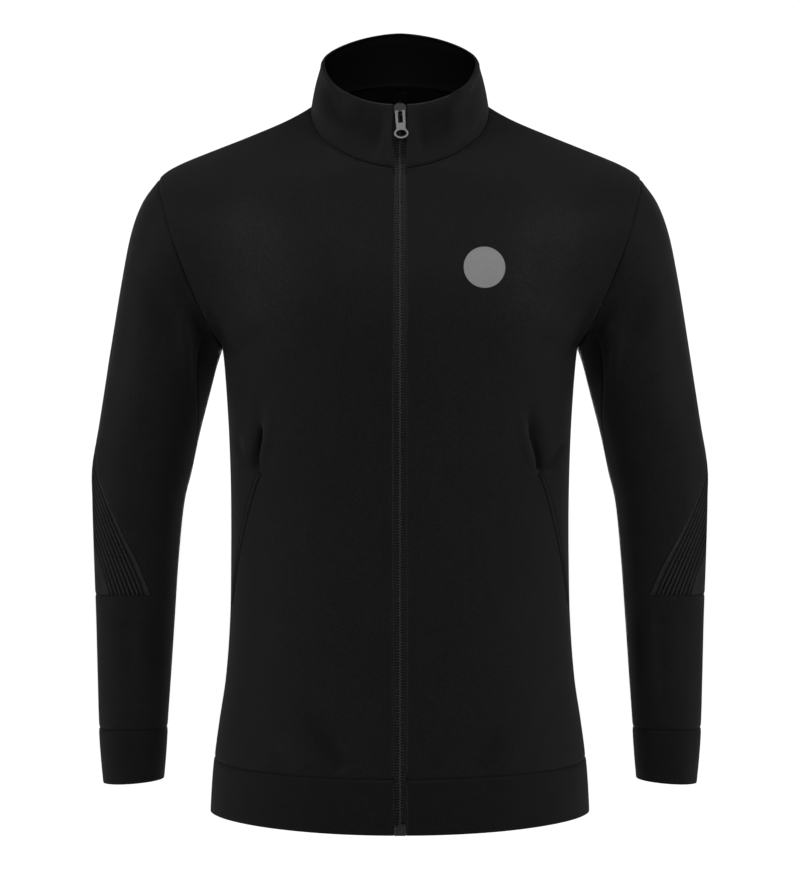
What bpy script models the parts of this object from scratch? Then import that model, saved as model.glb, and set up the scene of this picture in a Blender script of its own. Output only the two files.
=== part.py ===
"""Track jacket with a stand collar, set-in sleeves, arched elbow panels and a full-length zip.

The jacket stands filled out, as on a wearer, and is open at the neck, hem and cuffs. +X is the
wearer's left, -Y the front and +Z up. The origin is the centre of the neck's base. Sizes are in
millimetres and become metres when a mesh is made. Every cloth piece is a wall between an outer
surface and the same surface moved inward, cut back a little at its seams.
"""

import math
from collections import namedtuple

import bmesh
import bpy
from mathutils import Matrix, Vector

MM = 0.001

# ---- cloth ---------------------------------------------------------------------------------
SEAM_GAP = 0.3
CLOTH = 1.5
DOUBLED_CLOTH = 2.4
MAX_SEAM_TURN = math.radians(35)
MAX_TRIM = 1.2
MIN_TRIM_SHARE = 0.1
MIN_MITRE = 0.6
MIN_CORNER_SHARE = 0.4
CORNERS_PER_MM = 200

# ---- torso ---------------------------------------------------------------------------------
# depths are measured from the side seams' plane; dip is how far the centre hangs below the side
TorsoSection = namedtuple("TorsoSection", "z half_width front back dip")
TORSO = (
    TorsoSection(-694, 189.2, 119, 120, 6.2),
    TorsoSection(-639, 185.2, 121, 118, 7.5),
    TorsoSection(-604, 180.5, 120.5, 114, 4.5),
    TorsoSection(-560, 173.8, 119, 108, 2),
    TorsoSection(-500, 169.4, 117, 100, 0),
    TorsoSection(-440, 168.4, 115, 94, 0),
    TorsoSection(-380, 168.8, 115, 93, 0),
    TorsoSection(-320, 170.8, 118, 99, 0),
    TorsoSection(-270, 173.8, 121.5, 108, 0),
    TorsoSection(-231, 177.0, 123.5, 115, 0),
)
CentrePoint = namedtuple("CentrePoint", "z depth")
CHEST_CENTRE = (
    CentrePoint(-231, 123.5),
    CentrePoint(-190, 122.0),
    CentrePoint(-150, 116.5),
    CentrePoint(-105, 102.5),
)
BACK_CENTRE = (
    CentrePoint(-231, 115),
    CentrePoint(-180, 120),
    CentrePoint(-130, 119),
    CentrePoint(-80, 110),
    CentrePoint(-20, 88),
)
UNDERARM_Z = -231
HEM_ROWS = (-694, -667, -639)
TORSO_ROWS = (-639, -608, -575, -540, -508, -487, -455, -420, -388, -357, -325, -290, -258, -231)
YOKE_STEPS = 10
FRONT_NECK_STEP = 6
BACK_NECK_STEP = 6
SIDE_FULLNESS = 0.56
YOKE_FULLNESS = 0.36
YOKE_BLEND_CLIMB = 0.45
YOKE_TURN_POWER = 1.5
STRAIGHT_CLIMB = 0.6
SHOULDER_CROWN = 8
SHOULDER_TURN = 12
SHOULDER_ROUNDING = 0.7
HEM_LIFT_PLACE = 0.45
HEM_EDGE_LIFT_PLACE = 1.0
NECK_FLARE = {"front": 3, "back": 15}
ROW_SAMPLES = 48
LENGTH_SAMPLES = 12
COLUMNS = 8

# ---- neck and collar -----------------------------------------------------------------------
NECK_HALF_WIDTH = 90
NECK_SIDE_Y = 14
NECK_SIDE_Z = 5.8
NECK_FRONT_REACH = 96
NECK_BACK_REACH = 46
NECK_FRONT_SQUARENESS = 1.8
NECK_SPREAD = 1.3
NECK_SLOPE = 0.695
COLLAR_HALF_WIDTH = 77.5
COLLAR_SIDE_Y = 8
COLLAR_FRONT_REACH = 74
COLLAR_BACK_REACH = 48
COLLAR_BACK_POWER = 1.2
COLLAR_FRONT_Z = 3
COLLAR_SLOPE = 0.73
COLLAR_BULGE = 1
COLLAR_ROWS = 3

# ---- sleeves -------------------------------------------------------------------------------
# each section runs from the outer line to the inner line of the sleeve, front and back of it
SleeveSection = namedtuple("SleeveSection", "outer_x outer_z inner_x inner_z front back mid_y seam")
SLEEVE = (
    SleeveSection(239.8, -63.5, 177.0, -231.0, 66, 70, 0, 144),
    SleeveSection(256.5, -87, 177.9, -233.0, 67, 72, 0, 141),
    SleeveSection(268.0, -118, 179.0, -236.5, 68, 73, 0, 139),
    SleeveSection(277.0, -162, 180.4, -241.0, 68, 72, 1, 138),
    SleeveSection(285.4, -213, 183.5, -251.0, 66, 68, 2, 139),
    SleeveSection(293.0, -262, 190.5, -278.0, 63, 64, 3, 147),
    SleeveSection(300.5, -309, 200.5, -317.0, 59, 60, 4, 165),
    SleeveSection(307.5, -350, 208.5, -354.0, 56, 58, 4, 178),
    SleeveSection(307.3, -385, 216.0, -387.0, 53, 55, 2, 180),
    SleeveSection(305.5, -440, 221.0, -440.0, 48, 50, -2, 180),
    SleeveSection(303.0, -500, 224.8, -500.0, 44, 45, -6, 180),
    SleeveSection(301.0, -560, 228.4, -560.0, 39, 40, -9, 180),
    SleeveSection(299.0, -609, 231.6, -609.0, 35.5, 36, -11, 180),
    SleeveSection(294.3, -664, 235.3, -660.0, 32, 32, -12, 180),
)
CUFF_SEAM = 12
CAP_RINGS = (0, 1, 2, 3, 4, 5, 6)
FOREARM_RINGS = (10.5, 11.2, 12)
CUFF_RINGS = (12, 12.5, 13)
ARMHOLE_BULGE = 7
ARMHOLE_BULGE_RINGS = 4
SLEEVE_SQUARENESS = 2.1
SLEEVE_SEAM_STEP = 8

# ---- elbow panels --------------------------------------------------------------------------
ELBOW_APEX_Z = {"right": -320, "left": -334}
ELBOW_BASE_Z = -477
ELBOW_HALF_ANGLE = 118
ELBOW_ARCH = 0.8
ELBOW_STEPS = 6
ELBOW_COLUMNS = 6

# ---- pockets -------------------------------------------------------------------------------
POCKET_TOP_Z = -357
POCKET_FOOT_Z = -487
POCKET_TOP_PLACE = 0.640
POCKET_FOOT_PLACE = 0.900
POCKET_CURVE = 0.85
WELT_WIDTH = 4.6
BAG_DROP = 32
BAG_CLOTH = 1.0
BAG_COLUMNS = slice(2, 8)
TACK_SIZE = (7.0, 1.6, 0.7)

# ---- zip -----------------------------------------------------------------------------------
ZIP_SLOT_HALF = 6.2
PLACKET_WIDTH = 8
PLACKET_MARGIN = 1
TAPE_HALF = 14
TAPE_CLOTH = 1.0
TAPE_DEPTH = DOUBLED_CLOTH + SEAM_GAP
TAPE_END_GAP = 1
COIL_HALF = 3.1
COIL_HEIGHT = 2.2
SLIDER_HALF_WIDTH = 5.7
SLIDER_BELOW = 9.3
SLIDER_ABOVE = 3.2
SLIDER_PLATE = 1.4
SLIDER_CROWN = ((5.0, 9.3), (5.7, 5.0), (5.7, 0.8), (4.4, -1.7), (2.4, -3.2))
DIAMOND_LENGTH = 2.6
BRIDGE_WIDTH = 3.0
BRIDGE_HEIGHT = 3.8
BRIDGE_REACH = (1.4, -8.0)
BRIDGE_BAR = 1.1
BRIDGE_CORNER = 1.0
BRIDGE_ROOT = 0.4
PULL_PIVOT = -6.0
PULL_PIN = 0.7
PULL_THICKNESS = 1.2
PULL_HALF_WIDTH = 4.8
PULL_WAIST = 4.4
PULL_LEAN = 3
PULL_WINDOW = (2.3, 12.3)
PULL_CORNER = 0.6
PULL_WAIST_REACH = (14.8, 18.2)
PULL_RING_START = 50
PULL_RING_PLACE = 23.3
PULL_RING = (7.0, 5.3)
PULL_EYE = (5.2, 3.6)
BOX_LENGTH = 10
BOX_HALF_WIDTH = 5.7
BOX_PROUD = 0.6
TOOL_REACH = 20

# ---- print ---------------------------------------------------------------------------------
PRINT_CENTRE = (80.6, -158.9)
PRINT_RADIUS = 20
PRINT_FILM = 0.35
PRINT_RINGS = 3
PRINT_SPOKES = 24
PRINT_GAP = 0.4
PLACE_STEPS = 14
YOKE_HEIGHT = 260
CHEST_SPAN = 260

# ---- materials: base colour, roughness, metallic -------------------------------------------
MATERIALS = {
    "knit": ((0.0094, 0.0094, 0.0098), 0.9, 0.0),
    "rib_knit": ((0.0075, 0.0075, 0.008), 0.92, 0.0),
    "elbow_knit": ((0.013, 0.013, 0.0135), 0.85, 0.0),
    "pocket_cloth": ((0.008, 0.008, 0.0085), 0.9, 0.0),
    "zip_tape": ((0.011, 0.011, 0.0115), 0.8, 0.0),
    "coil": ((0.02, 0.02, 0.021), 0.45, 0.0),
    "gunmetal": ((0.14, 0.14, 0.145), 0.34, 0.9),
    "thread": ((0.012, 0.012, 0.0125), 0.8, 0.0),
    "print_film": ((0.195, 0.195, 0.2), 0.6, 0.0),
}


# ---- small helpers -------------------------------------------------------------------------
def mix(start, end, share):
    return start + (end - start) * share


def spread(start, end, steps):
    return [mix(start, end, i / steps) for i in range(steps + 1)]


def smooth(share):
    share = min(1.0, max(0.0, share))
    return share * share * (3 - 2 * share)


def spline(knots, values, place):
    """A smooth curve through the values, straight on beyond its ends."""
    last = len(knots) - 1
    slopes = []
    for i in range(last + 1):
        low = max(0, i - 1)
        high = min(last, i + 1)
        slopes.append((values[high] - values[low]) / (knots[high] - knots[low]))
    if place <= knots[0]:
        return values[0] + slopes[0] * (place - knots[0])
    if place >= knots[last]:
        return values[last] + slopes[last] * (place - knots[last])
    i = max(k for k in range(last) if knots[k] <= place)
    span = knots[i + 1] - knots[i]
    t = (place - knots[i]) / span
    start = (1 + 2 * t) * (1 - t) ** 2 * values[i] + t * (1 - t) ** 2 * span * slopes[i]
    end = t * t * (3 - 2 * t) * values[i + 1] - t * t * (1 - t) * span * slopes[i + 1]
    return start + end


def table_value(table, key, column, place):
    return spline([getattr(row, key) for row in table], [getattr(row, column) for row in table], place)


def solve(function, low, high):
    """The place between low and high where a rising or falling function is zero."""
    rising = function(high) > function(low)
    for _ in range(40):
        middle = (low + high) / 2
        if (function(middle) > 0) == rising:
            high = middle
        else:
            low = middle
    return (low + high) / 2


def mirrored(point, side):
    return Vector((point.x * side, point.y, point.z))


# ---- neck seam and collar top --------------------------------------------------------------
def neck_point(angle):
    """A point of the neck seam; 0 degrees is the front, 90 the shoulder and 180 the back."""
    across = math.sin(math.radians(angle))
    along = math.cos(math.radians(angle))
    if angle < 90:
        power = 2 / NECK_FRONT_SQUARENESS
        x = NECK_HALF_WIDTH * across ** power
        y = NECK_SIDE_Y - NECK_FRONT_REACH * along ** power
    else:
        x = NECK_HALF_WIDTH * across
        y = NECK_SIDE_Y - NECK_BACK_REACH * along
    return Vector((x, y, NECK_SIDE_Z + NECK_SLOPE * (y - NECK_SIDE_Y)))


def collar_top_point(angle):
    across = math.sin(math.radians(angle))
    along = math.cos(math.radians(angle))
    if angle < 90:
        x = COLLAR_HALF_WIDTH * across
        y = COLLAR_SIDE_Y - COLLAR_FRONT_REACH * along
    else:
        x = COLLAR_HALF_WIDTH * across ** COLLAR_BACK_POWER
        y = COLLAR_SIDE_Y + COLLAR_BACK_REACH * abs(along) ** COLLAR_BACK_POWER
    rise = COLLAR_SLOPE * (y - COLLAR_SIDE_Y + COLLAR_FRONT_REACH)
    return Vector((x, y, COLLAR_FRONT_Z + rise))


def collar_point(angle, height):
    """A point of the collar; height is 0 at the neck seam and 1 at the top edge."""
    low = neck_point(angle)
    high = collar_top_point(angle)
    point = low.lerp(high, height)
    outward = Vector((point.x, point.y - COLLAR_SIDE_Y, 0)).normalized()
    return point + outward * COLLAR_BULGE * math.sin(math.pi * height)


NECK_START = solve(lambda angle: neck_point(angle).x - ZIP_SLOT_HALF, 0, 45)
COLLAR_TOP_START = solve(lambda angle: collar_top_point(angle).x - ZIP_SLOT_HALF, 0, 45)


# ---- sleeve surface ------------------------------------------------------------------------
def sleeve_value(column, ring):
    numbers = range(len(SLEEVE))
    return spline(list(numbers), [getattr(SLEEVE[i], column) for i in numbers], ring)


def rounded(value, power):
    return math.copysign(abs(value) ** power, value)


def sleeve_point(ring, angle):
    """A point of the left sleeve; 0 degrees is the outer line, 90 the front, 180 the inner line."""
    outer = Vector((sleeve_value("outer_x", ring), 0, sleeve_value("outer_z", ring)))
    inner = Vector((sleeve_value("inner_x", ring), 0, sleeve_value("inner_z", ring)))
    power = 2 / SLEEVE_SQUARENESS
    along = rounded(math.cos(math.radians(angle)), power)
    across = rounded(math.sin(math.radians(angle)), power)
    depth = sleeve_value("front" if across > 0 else "back", ring)
    point = (outer + inner) / 2 + (outer - inner) / 2 * along
    bulge = ARMHOLE_BULGE * max(0.0, 1 - ring / ARMHOLE_BULGE_RINGS) if across > 0 else 0
    point.x += bulge * across * across
    point.y = sleeve_value("mid_y", ring) - depth * across
    return point


# ---- torso surface -------------------------------------------------------------------------
NECK_FRONT = neck_point(NECK_START)
NECK_BACK = neck_point(180)
CHEST_LINE = CHEST_CENTRE + (CentrePoint(NECK_FRONT.z, -NECK_FRONT.y),)
BACK_LINE = BACK_CENTRE + (CentrePoint(NECK_BACK.z, NECK_BACK.y),)


def neck_share(face, climb):
    """How far along its half of the neck seam a row above the underarm starts."""
    step = FRONT_NECK_STEP if face == "front" else BACK_NECK_STEP
    return max(0.0, (climb - step / YOKE_STEPS) / (1 - step / YOKE_STEPS))


def yoke_start(face, climb):
    """The inner end of a row above the underarm: on the centre line, then on the neck seam."""
    front = face == "front"
    share = neck_share(face, climb)
    if share > 0:
        share = share ** NECK_SPREAD if front else share
        return neck_point(mix(NECK_START if front else 180, 90, share))
    line = CHEST_LINE if front else BACK_LINE
    neck_climb = (FRONT_NECK_STEP if front else BACK_NECK_STEP) / YOKE_STEPS
    z = mix(UNDERARM_Z, line[-1].z, climb / neck_climb)
    depth = table_value(line, "z", "depth", z)
    return Vector((ZIP_SLOT_HALF if front else 0, -depth if front else depth, z))


def row_curve(face, level):
    """Four control points of a row from the centre to the side seam, armhole or shoulder tip.

    A level up to 0 is a height measured down from the underarm in millimetres. A level from 0
    to 1 climbs from the underarm to the shoulder seam.
    """
    sign = -1 if face == "front" else 1
    inner_x = ZIP_SLOT_HALF if face == "front" else 0
    if level <= 0:
        z = UNDERARM_Z + level
        depth = table_value(TORSO, "z", face, z)
        start = Vector((inner_x, sign * depth, z - table_value(TORSO, "z", "dip", z)))
        end = Vector((table_value(TORSO, "z", "half_width", z), 0, z))
        climb = 0
    else:
        start = yoke_start(face, level)
        end = sleeve_point(0, 180 + sign * 180 * level)
        climb = level
    fullness = mix(SIDE_FULLNESS, YOKE_FULLNESS, smooth(climb / YOKE_BLEND_CLIMB))
    straight = smooth((climb - STRAIGHT_CLIMB) / (1 - STRAIGHT_CLIMB))
    span = end - start
    chord = Vector((span.x, span.y, 0)).normalized()
    turn = math.radians(90 * (1 - climb) ** YOKE_TURN_POWER)
    leave = Vector((1, span.y / span.x * straight, 0))
    arrive = Vector((math.cos(turn), -sign * math.sin(turn), 0)).lerp(chord, straight).normalized()
    reach = fullness * (abs(span.x) * abs(arrive.x) + abs(span.y) * abs(arrive.y))
    second = start + leave * fullness * span.x
    third = end - arrive * reach
    second.z = mix(start.z, end.z, (second.x - start.x) / span.x)
    third.z = mix(start.z, end.z, (third.x - start.x) / span.x)
    second.z -= NECK_FLARE[face] * math.sin(math.pi * neck_share(face, climb))
    if level <= 0:
        second.z = start.z
        above_edge = min(1.0, (z - HEM_ROWS[0]) / (HEM_ROWS[-1] - HEM_ROWS[0]))
        lift_place = mix(HEM_EDGE_LIFT_PLACE, HEM_LIFT_PLACE, above_edge)
        third.z = mix(start.z, end.z, lift_place)
    return start, second, third, end


def row_points(face, level, places):
    """Points of a row at shares of its length."""
    first, second, third, fourth = row_curve(face, level)
    crown = SHOULDER_CROWN * max(0.0, level) ** 2
    samples = []
    for i in range(ROW_SAMPLES + 1):
        t = i / ROW_SAMPLES
        low = first * (1 - t) ** 3 + second * 3 * t * (1 - t) ** 2
        point = low + third * 3 * t * t * (1 - t) + fourth * t ** 3
        share = (point.x - first.x) / (fourth.x - first.x)
        share = min(1.0, max(0.0, share))
        point.z += crown * share * (1 - share ** SHOULDER_TURN) ** SHOULDER_ROUNDING
        samples.append(point)
    lengths = [0.0]
    for near, far in zip(samples, samples[1:]):
        lengths.append(lengths[-1] + (far - near).length)
    points = []
    for place in places:
        target = place * lengths[-1]
        i = max(k for k in range(ROW_SAMPLES) if lengths[k] <= target or k == 0)
        share = (target - lengths[i]) / (lengths[i + 1] - lengths[i])
        points.append(samples[i].lerp(samples[i + 1], share))
    return points


def row_length(face, level):
    points = row_points(face, level, spread(0, 1, LENGTH_SAMPLES))
    return sum((far - near).length for near, far in zip(points, points[1:]))


def pocket_place(level):
    """Where the pocket line crosses a front row, as a share of the row's length."""
    drop = (POCKET_TOP_Z - UNDERARM_Z - level) / (POCKET_TOP_Z - POCKET_FOOT_Z)
    drop = min(1.0, max(0.0, drop))
    return mix(POCKET_TOP_PLACE, POCKET_FOOT_PLACE, drop ** POCKET_CURVE)


WELT_COLUMN = 5
EVEN_PLACES = spread(0.0, 1.0, COLUMNS)


def front_places(level):
    """Column places of a front row: placket edge, four to the pocket line, welt, two beyond."""
    length = row_length("front", level)
    line = pocket_place(level)
    near = line - WELT_WIDTH / 2 / length
    far = line + WELT_WIDTH / 2 / length
    placket = PLACKET_WIDTH / length
    pocket = [0.0] + spread(placket, near, WELT_COLUMN - 1) + [far, (far + 1) / 2, 1.0]
    relax = smooth(neck_share("front", level))
    return [mix(a, b, relax) for a, b in zip(pocket, EVEN_PLACES)]


def lower_level(z):
    return z - UNDERARM_Z


def yoke_levels():
    return spread(0.0, 1.0, YOKE_STEPS)


def front_rows(levels):
    return [row_points("front", level, front_places(level)) for level in levels]


def back_rows(levels):
    return [row_points("back", level, EVEN_PLACES) for level in levels]


# ---- one shared surface, sorted into pieces ------------------------------------------------
class Surface:
    """All outer faces of the garment with shared corners, each face in a named piece."""

    def __init__(self):
        self.points = []
        self.index = {}
        self.faces = []

    def corner(self, point):
        key = tuple(round(value * CORNERS_PER_MM) for value in point)
        if key not in self.index:
            self.index[key] = len(self.points)
            self.points.append(point.copy())
        return self.index[key]

    def add_rows(self, piece, rows, side, flip=False):
        """Faces between neighbouring rows of points; side -1 mirrors them to the right."""
        grid = [[self.corner(mirrored(point, side)) for point in row] for row in rows]
        reverse = flip != (side < 0)
        for low, high in zip(grid, grid[1:]):
            for i in range(len(low) - 1):
                ring = [low[i], low[i + 1], high[i + 1], high[i]]
                ring = [c for k, c in enumerate(ring) if c != ring[k - 1]]
                if len(set(ring)) >= 3:
                    self.faces.append((piece, ring[::-1] if reverse else ring))

    def face_normal(self, ring):
        normal = Vector()
        for near, far in zip(ring, ring[1:] + ring[:1]):
            normal += self.points[near].cross(self.points[far])
        return normal / 2

    def corner_normals(self, faces):
        normals = {}
        for _, ring in faces:
            area = self.face_normal(ring)
            for c in ring:
                normals[c] = normals.get(c, Vector()) + area
        return {c: normal.normalized() for c, normal in normals.items()}


def seam_normal(own, shared):
    """The direction through the wall at a seam: mitred, unless the seam is folded sharply."""
    angle = max(own.angle(shared, 0.0), MAX_SEAM_TURN)
    turned = own.lerp(shared, MAX_SEAM_TURN / angle).normalized()
    return turned / max(MIN_MITRE, turned.dot(own))


def trimmed_corners(surface, faces, border, shared):
    """Border corners moved back from the seam, so that neighbours stay SEAM_GAP apart."""
    pulls = {}
    for ring, near, far in border:
        along = (surface.points[far] - surface.points[near]).normalized()
        inward = surface.face_normal(ring).normalized().cross(along)
        for c in (near, far):
            pulls.setdefault(c, []).append(inward)
    moved = {}
    for c, inwards in pulls.items():
        total = sum(inwards, Vector())
        if len(inwards) > 1:
            total /= max(MIN_CORNER_SHARE, 1 + inwards[0].dot(inwards[-1]))
        clear = math.sqrt(max(0.0, 1 - total.normalized().dot(shared[c]) ** 2))
        reach = min(MAX_TRIM, SEAM_GAP / 2 / max(MIN_TRIM_SHARE, clear))
        moved[c] = surface.points[c] + total * reach
    return moved


def wall_mesh(surface, piece, thickness, shared):
    """Corners and faces of one piece as a closed wall."""
    faces = [face for face in surface.faces if face[0] == piece]
    own = surface.corner_normals(faces)
    edges = {}
    for _, ring in faces:
        for near, far in zip(ring, ring[1:] + ring[:1]):
            edges[(near, far)] = ring
    border = [(ring, near, far) for (near, far), ring in edges.items() if (far, near) not in edges]
    moved = trimmed_corners(surface, faces, border, shared)
    order = sorted(own)
    place = {c: i for i, c in enumerate(order)}
    outer = [moved.get(c, surface.points[c]) for c in order]
    inner = []
    for c, point in zip(order, outer):
        depth = thickness(surface.points[c])
        inner.append(point - seam_normal(own[c], shared[c]) * depth)
    count = len(order)
    rings = [[place[c] for c in ring] for _, ring in faces]
    rings += [[place[c] + count for c in reversed(ring)] for _, ring in faces]
    for _, near, far in border:
        a = place[near]
        b = place[far]
        rings.append([b, a, a + count, b + count])
    return outer + inner, rings


# ---- objects -------------------------------------------------------------------------------
def material(name):
    found = bpy.data.materials.get(name)
    if found:
        return found
    colour, roughness, metallic = MATERIALS[name]
    made = bpy.data.materials.new(name)
    made.use_nodes = True
    shader = made.node_tree.nodes["Principled BSDF"]
    shader.inputs["Base Color"].default_value = (*colour, 1)
    shader.inputs["Roughness"].default_value = roughness
    shader.inputs["Metallic"].default_value = metallic
    made.diffuse_color = (*colour, 1)
    return made


def add_object(name, points, rings, slot, pivot=Vector()):
    """A mesh object from corners in millimetres, with its origin at the pivot."""
    mesh = bpy.data.meshes.new(name)
    mesh.from_pydata([(point - pivot) * MM for point in points], [], rings)
    mesh.validate()
    mesh.materials.append(material(slot))
    made = bpy.data.objects.new(name, mesh)
    made.location = pivot * MM
    bpy.context.scene.collection.objects.link(made)
    return made


def triangulate(made):
    work = bmesh.new()
    work.from_mesh(made.data)
    bmesh.ops.triangulate(work, faces=work.faces)
    bmesh.ops.recalc_face_normals(work, faces=work.faces)
    work.to_mesh(made.data)
    work.free()


# ---- cloth pieces --------------------------------------------------------------------------
SIDES = (("right", -1), ("left", 1))


def add_fronts(surface):
    torso_levels = [lower_level(z) for z in TORSO_ROWS]
    torso = front_rows(torso_levels)
    yoke = front_rows(yoke_levels())
    for name, side in SIDES:
        piece = "front_" + name
        for low, high, z_low, z_high in zip(torso, torso[1:], TORSO_ROWS, TORSO_ROWS[1:]):
            pocket = z_low >= POCKET_FOOT_Z and z_high <= POCKET_TOP_Z
            inner = [low[:WELT_COLUMN + 1], high[:WELT_COLUMN + 1]]
            welt = [low[WELT_COLUMN:WELT_COLUMN + 2], high[WELT_COLUMN:WELT_COLUMN + 2]]
            outer = [low[WELT_COLUMN + 1:], high[WELT_COLUMN + 1:]]
            surface.add_rows(piece, inner, side)
            surface.add_rows("pocket_welt_" + name if pocket else piece, welt, side)
            surface.add_rows(piece, outer, side)
        surface.add_rows(piece, yoke, side)


def add_back(surface):
    rows = back_rows([lower_level(z) for z in TORSO_ROWS] + yoke_levels()[1:])
    for _, side in SIDES:
        surface.add_rows("back", rows, side, flip=True)


def add_hem_band(surface):
    levels = [lower_level(z) for z in HEM_ROWS]
    for _, side in SIDES:
        surface.add_rows("hem_band", front_rows(levels), side)
        surface.add_rows("hem_band", back_rows(levels), side, flip=True)


def collar_angles():
    """Angles of the neck seam's corners, shared with the front and back rows."""
    front_steps = YOKE_STEPS - FRONT_NECK_STEP
    back_steps = YOKE_STEPS - BACK_NECK_STEP
    front = [((i / front_steps) ** NECK_SPREAD, "front") for i in range(front_steps)]
    back = [(i / back_steps, "back") for i in range(back_steps + 1)]
    return front + back


def collar_rows():
    """Rows of the left half from the neck seam to the top edge."""
    rows = []
    for step in range(COLLAR_ROWS + 1):
        height = step / COLLAR_ROWS
        start = mix(NECK_START, COLLAR_TOP_START, height)
        row = []
        for share, part in collar_angles():
            low = mix(NECK_START, 90, share) if part == "front" else mix(90, 180, share)
            shift = (start - NECK_START) * (1 - share) if part == "front" else 0
            row.append(collar_point(low + shift, height))
        rows.append(row)
    return rows


def add_collar(surface):
    for _, side in SIDES:
        surface.add_rows("collar", collar_rows(), side)


def elbow_angle(z, name):
    """Half the angle that the elbow panel spans at a height."""
    apex = ELBOW_APEX_Z[name]
    share = min(1.0, max(0.0, (apex - z) / (apex - ELBOW_BASE_Z)))
    return ELBOW_HALF_ANGLE * share ** ELBOW_ARCH


def add_sleeve(surface, name, side):
    """Main sleeve with its cut-out, elbow panel and cuff."""
    sleeve = "sleeve_" + name
    steps = 2 * YOKE_STEPS
    front_cells = SLEEVE_SEAM_STEP
    back_cells = steps - front_cells
    apex = solve(lambda ring: sleeve_value("outer_z", ring) - ELBOW_APEX_Z[name], 5, 9)
    base = solve(lambda ring: sleeve_value("outer_z", ring) - ELBOW_BASE_Z, 8, 11)
    upper = [ring for ring in CAP_RINGS if ring < apex - 0.2] + [apex]
    elbow = spread(apex, base, ELBOW_STEPS)

    def ring_row(ring, angles):
        return [sleeve_point(ring, angle) for angle in angles]

    def seam(ring):
        return sleeve_value("seam", ring)

    def back_angles(ring, edge):
        return spread(seam(ring) - 360, -edge, back_cells)

    def front_angles(ring, edge):
        return spread(edge, seam(ring), front_cells)

    whole = []
    for ring in upper:
        whole.append(ring_row(ring, back_angles(ring, 0) + front_angles(ring, 0)[1:]))
    surface.add_rows(sleeve, whole, side)

    edges = [elbow_angle(sleeve_value("outer_z", ring), name) for ring in elbow]
    back_strip = [ring_row(ring, back_angles(ring, edge)) for ring, edge in zip(elbow, edges)]
    front_strip = [ring_row(ring, front_angles(ring, edge)) for ring, edge in zip(elbow, edges)]
    panel = [ring_row(ring, spread(-edge, edge, ELBOW_COLUMNS)) for ring, edge in zip(elbow, edges)]
    surface.add_rows(sleeve, back_strip, side)
    surface.add_rows(sleeve, front_strip, side)
    surface.add_rows("elbow_panel_" + name, panel, side)

    base_edge = edges[-1]
    base_angles = back_angles(base, base_edge) + spread(-base_edge, base_edge, ELBOW_COLUMNS)[1:]
    base_angles += front_angles(base, base_edge)[1:]
    even_angles = spread(-180, 180, len(base_angles) - 1)
    lower = []
    for ring in (base,) + FOREARM_RINGS:
        relax = smooth((ring - base) / (CUFF_SEAM - base))
        lower.append(ring_row(ring, [mix(a, b, relax) for a, b in zip(base_angles, even_angles)]))
    surface.add_rows(sleeve, lower, side)
    surface.add_rows("cuff_" + name, [ring_row(ring, even_angles) for ring in CUFF_RINGS], side)


def front_cloth(point):
    """Front cloth is doubled where its edge is turned in along the zip."""
    reach = ZIP_SLOT_HALF + PLACKET_WIDTH + PLACKET_MARGIN
    return DOUBLED_CLOTH if abs(point.x) < reach else CLOTH


def single_cloth(point):
    return CLOTH


def doubled_cloth(point):
    return DOUBLED_CLOTH


CLOTH_PIECES = (
    ("front_right", front_cloth, "knit"),
    ("front_left", front_cloth, "knit"),
    ("back", single_cloth, "knit"),
    ("sleeve_right", single_cloth, "knit"),
    ("sleeve_left", single_cloth, "knit"),
    ("elbow_panel_right", single_cloth, "elbow_knit"),
    ("elbow_panel_left", single_cloth, "elbow_knit"),
    ("cuff_right", doubled_cloth, "rib_knit"),
    ("cuff_left", doubled_cloth, "rib_knit"),
    ("hem_band", doubled_cloth, "rib_knit"),
    ("collar", doubled_cloth, "knit"),
    ("pocket_welt_right", single_cloth, "knit"),
    ("pocket_welt_left", single_cloth, "knit"),
)


def build_cloth():
    surface = Surface()
    add_fronts(surface)
    add_back(surface)
    add_hem_band(surface)
    add_collar(surface)
    for name, side in SIDES:
        add_sleeve(surface, name, side)
    shared = surface.corner_normals(surface.faces)
    for piece, thickness, slot in CLOTH_PIECES:
        points, rings = wall_mesh(surface, piece, thickness, shared)
        triangulate(add_object(piece, points, rings, slot))


# ---- pieces laid on or behind a panel ------------------------------------------------------
def grid_normals(rows):
    """A direction out of the surface at each point of a grid of rows."""
    normals = []
    for r, row in enumerate(rows):
        line = []
        for c in range(len(row)):
            across = row[min(c + 1, len(row) - 1)] - row[max(c - 1, 0)]
            up = rows[min(r + 1, len(rows) - 1)][c] - rows[max(r - 1, 0)][c]
            line.append(across.cross(up).normalized())
        normals.append(line)
    return normals


def layer_mesh(rows, near, far):
    """A closed layer between two distances from a grid; a larger distance is further out."""
    normals = grid_normals(rows)
    width = len(rows[0])
    points = []
    for reach in (far, near):
        for row, line in zip(rows, normals):
            points += [point + normal * reach for point, normal in zip(row, line)]
    count = len(rows) * width
    rings = []
    for r in range(len(rows) - 1):
        for c in range(width - 1):
            a = r * width + c
            quad = [a, a + 1, a + width + 1, a + width]
            rings.append(quad)
            rings.append([corner + count for corner in reversed(quad)])
    edge = [(c, c + 1) for c in range(width - 1)]
    edge += [(r * width + width - 1, (r + 1) * width + width - 1) for r in range(len(rows) - 1)]
    last = (len(rows) - 1) * width
    edge += [(last + c + 1, last + c) for c in range(width - 1)]
    edge += [((r + 1) * width, r * width) for r in range(len(rows) - 1)]
    for a, b in edge:
        rings.append([b, a, a + count, b + count])
    return points, rings


def add_layer(name, rows, near, far, side, slot):
    points, rings = layer_mesh(rows, near, far)
    points = [mirrored(point, side) for point in points]
    if side < 0:
        rings = [ring[::-1] for ring in rings]
    triangulate(add_object(name, points, rings, slot))


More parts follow.
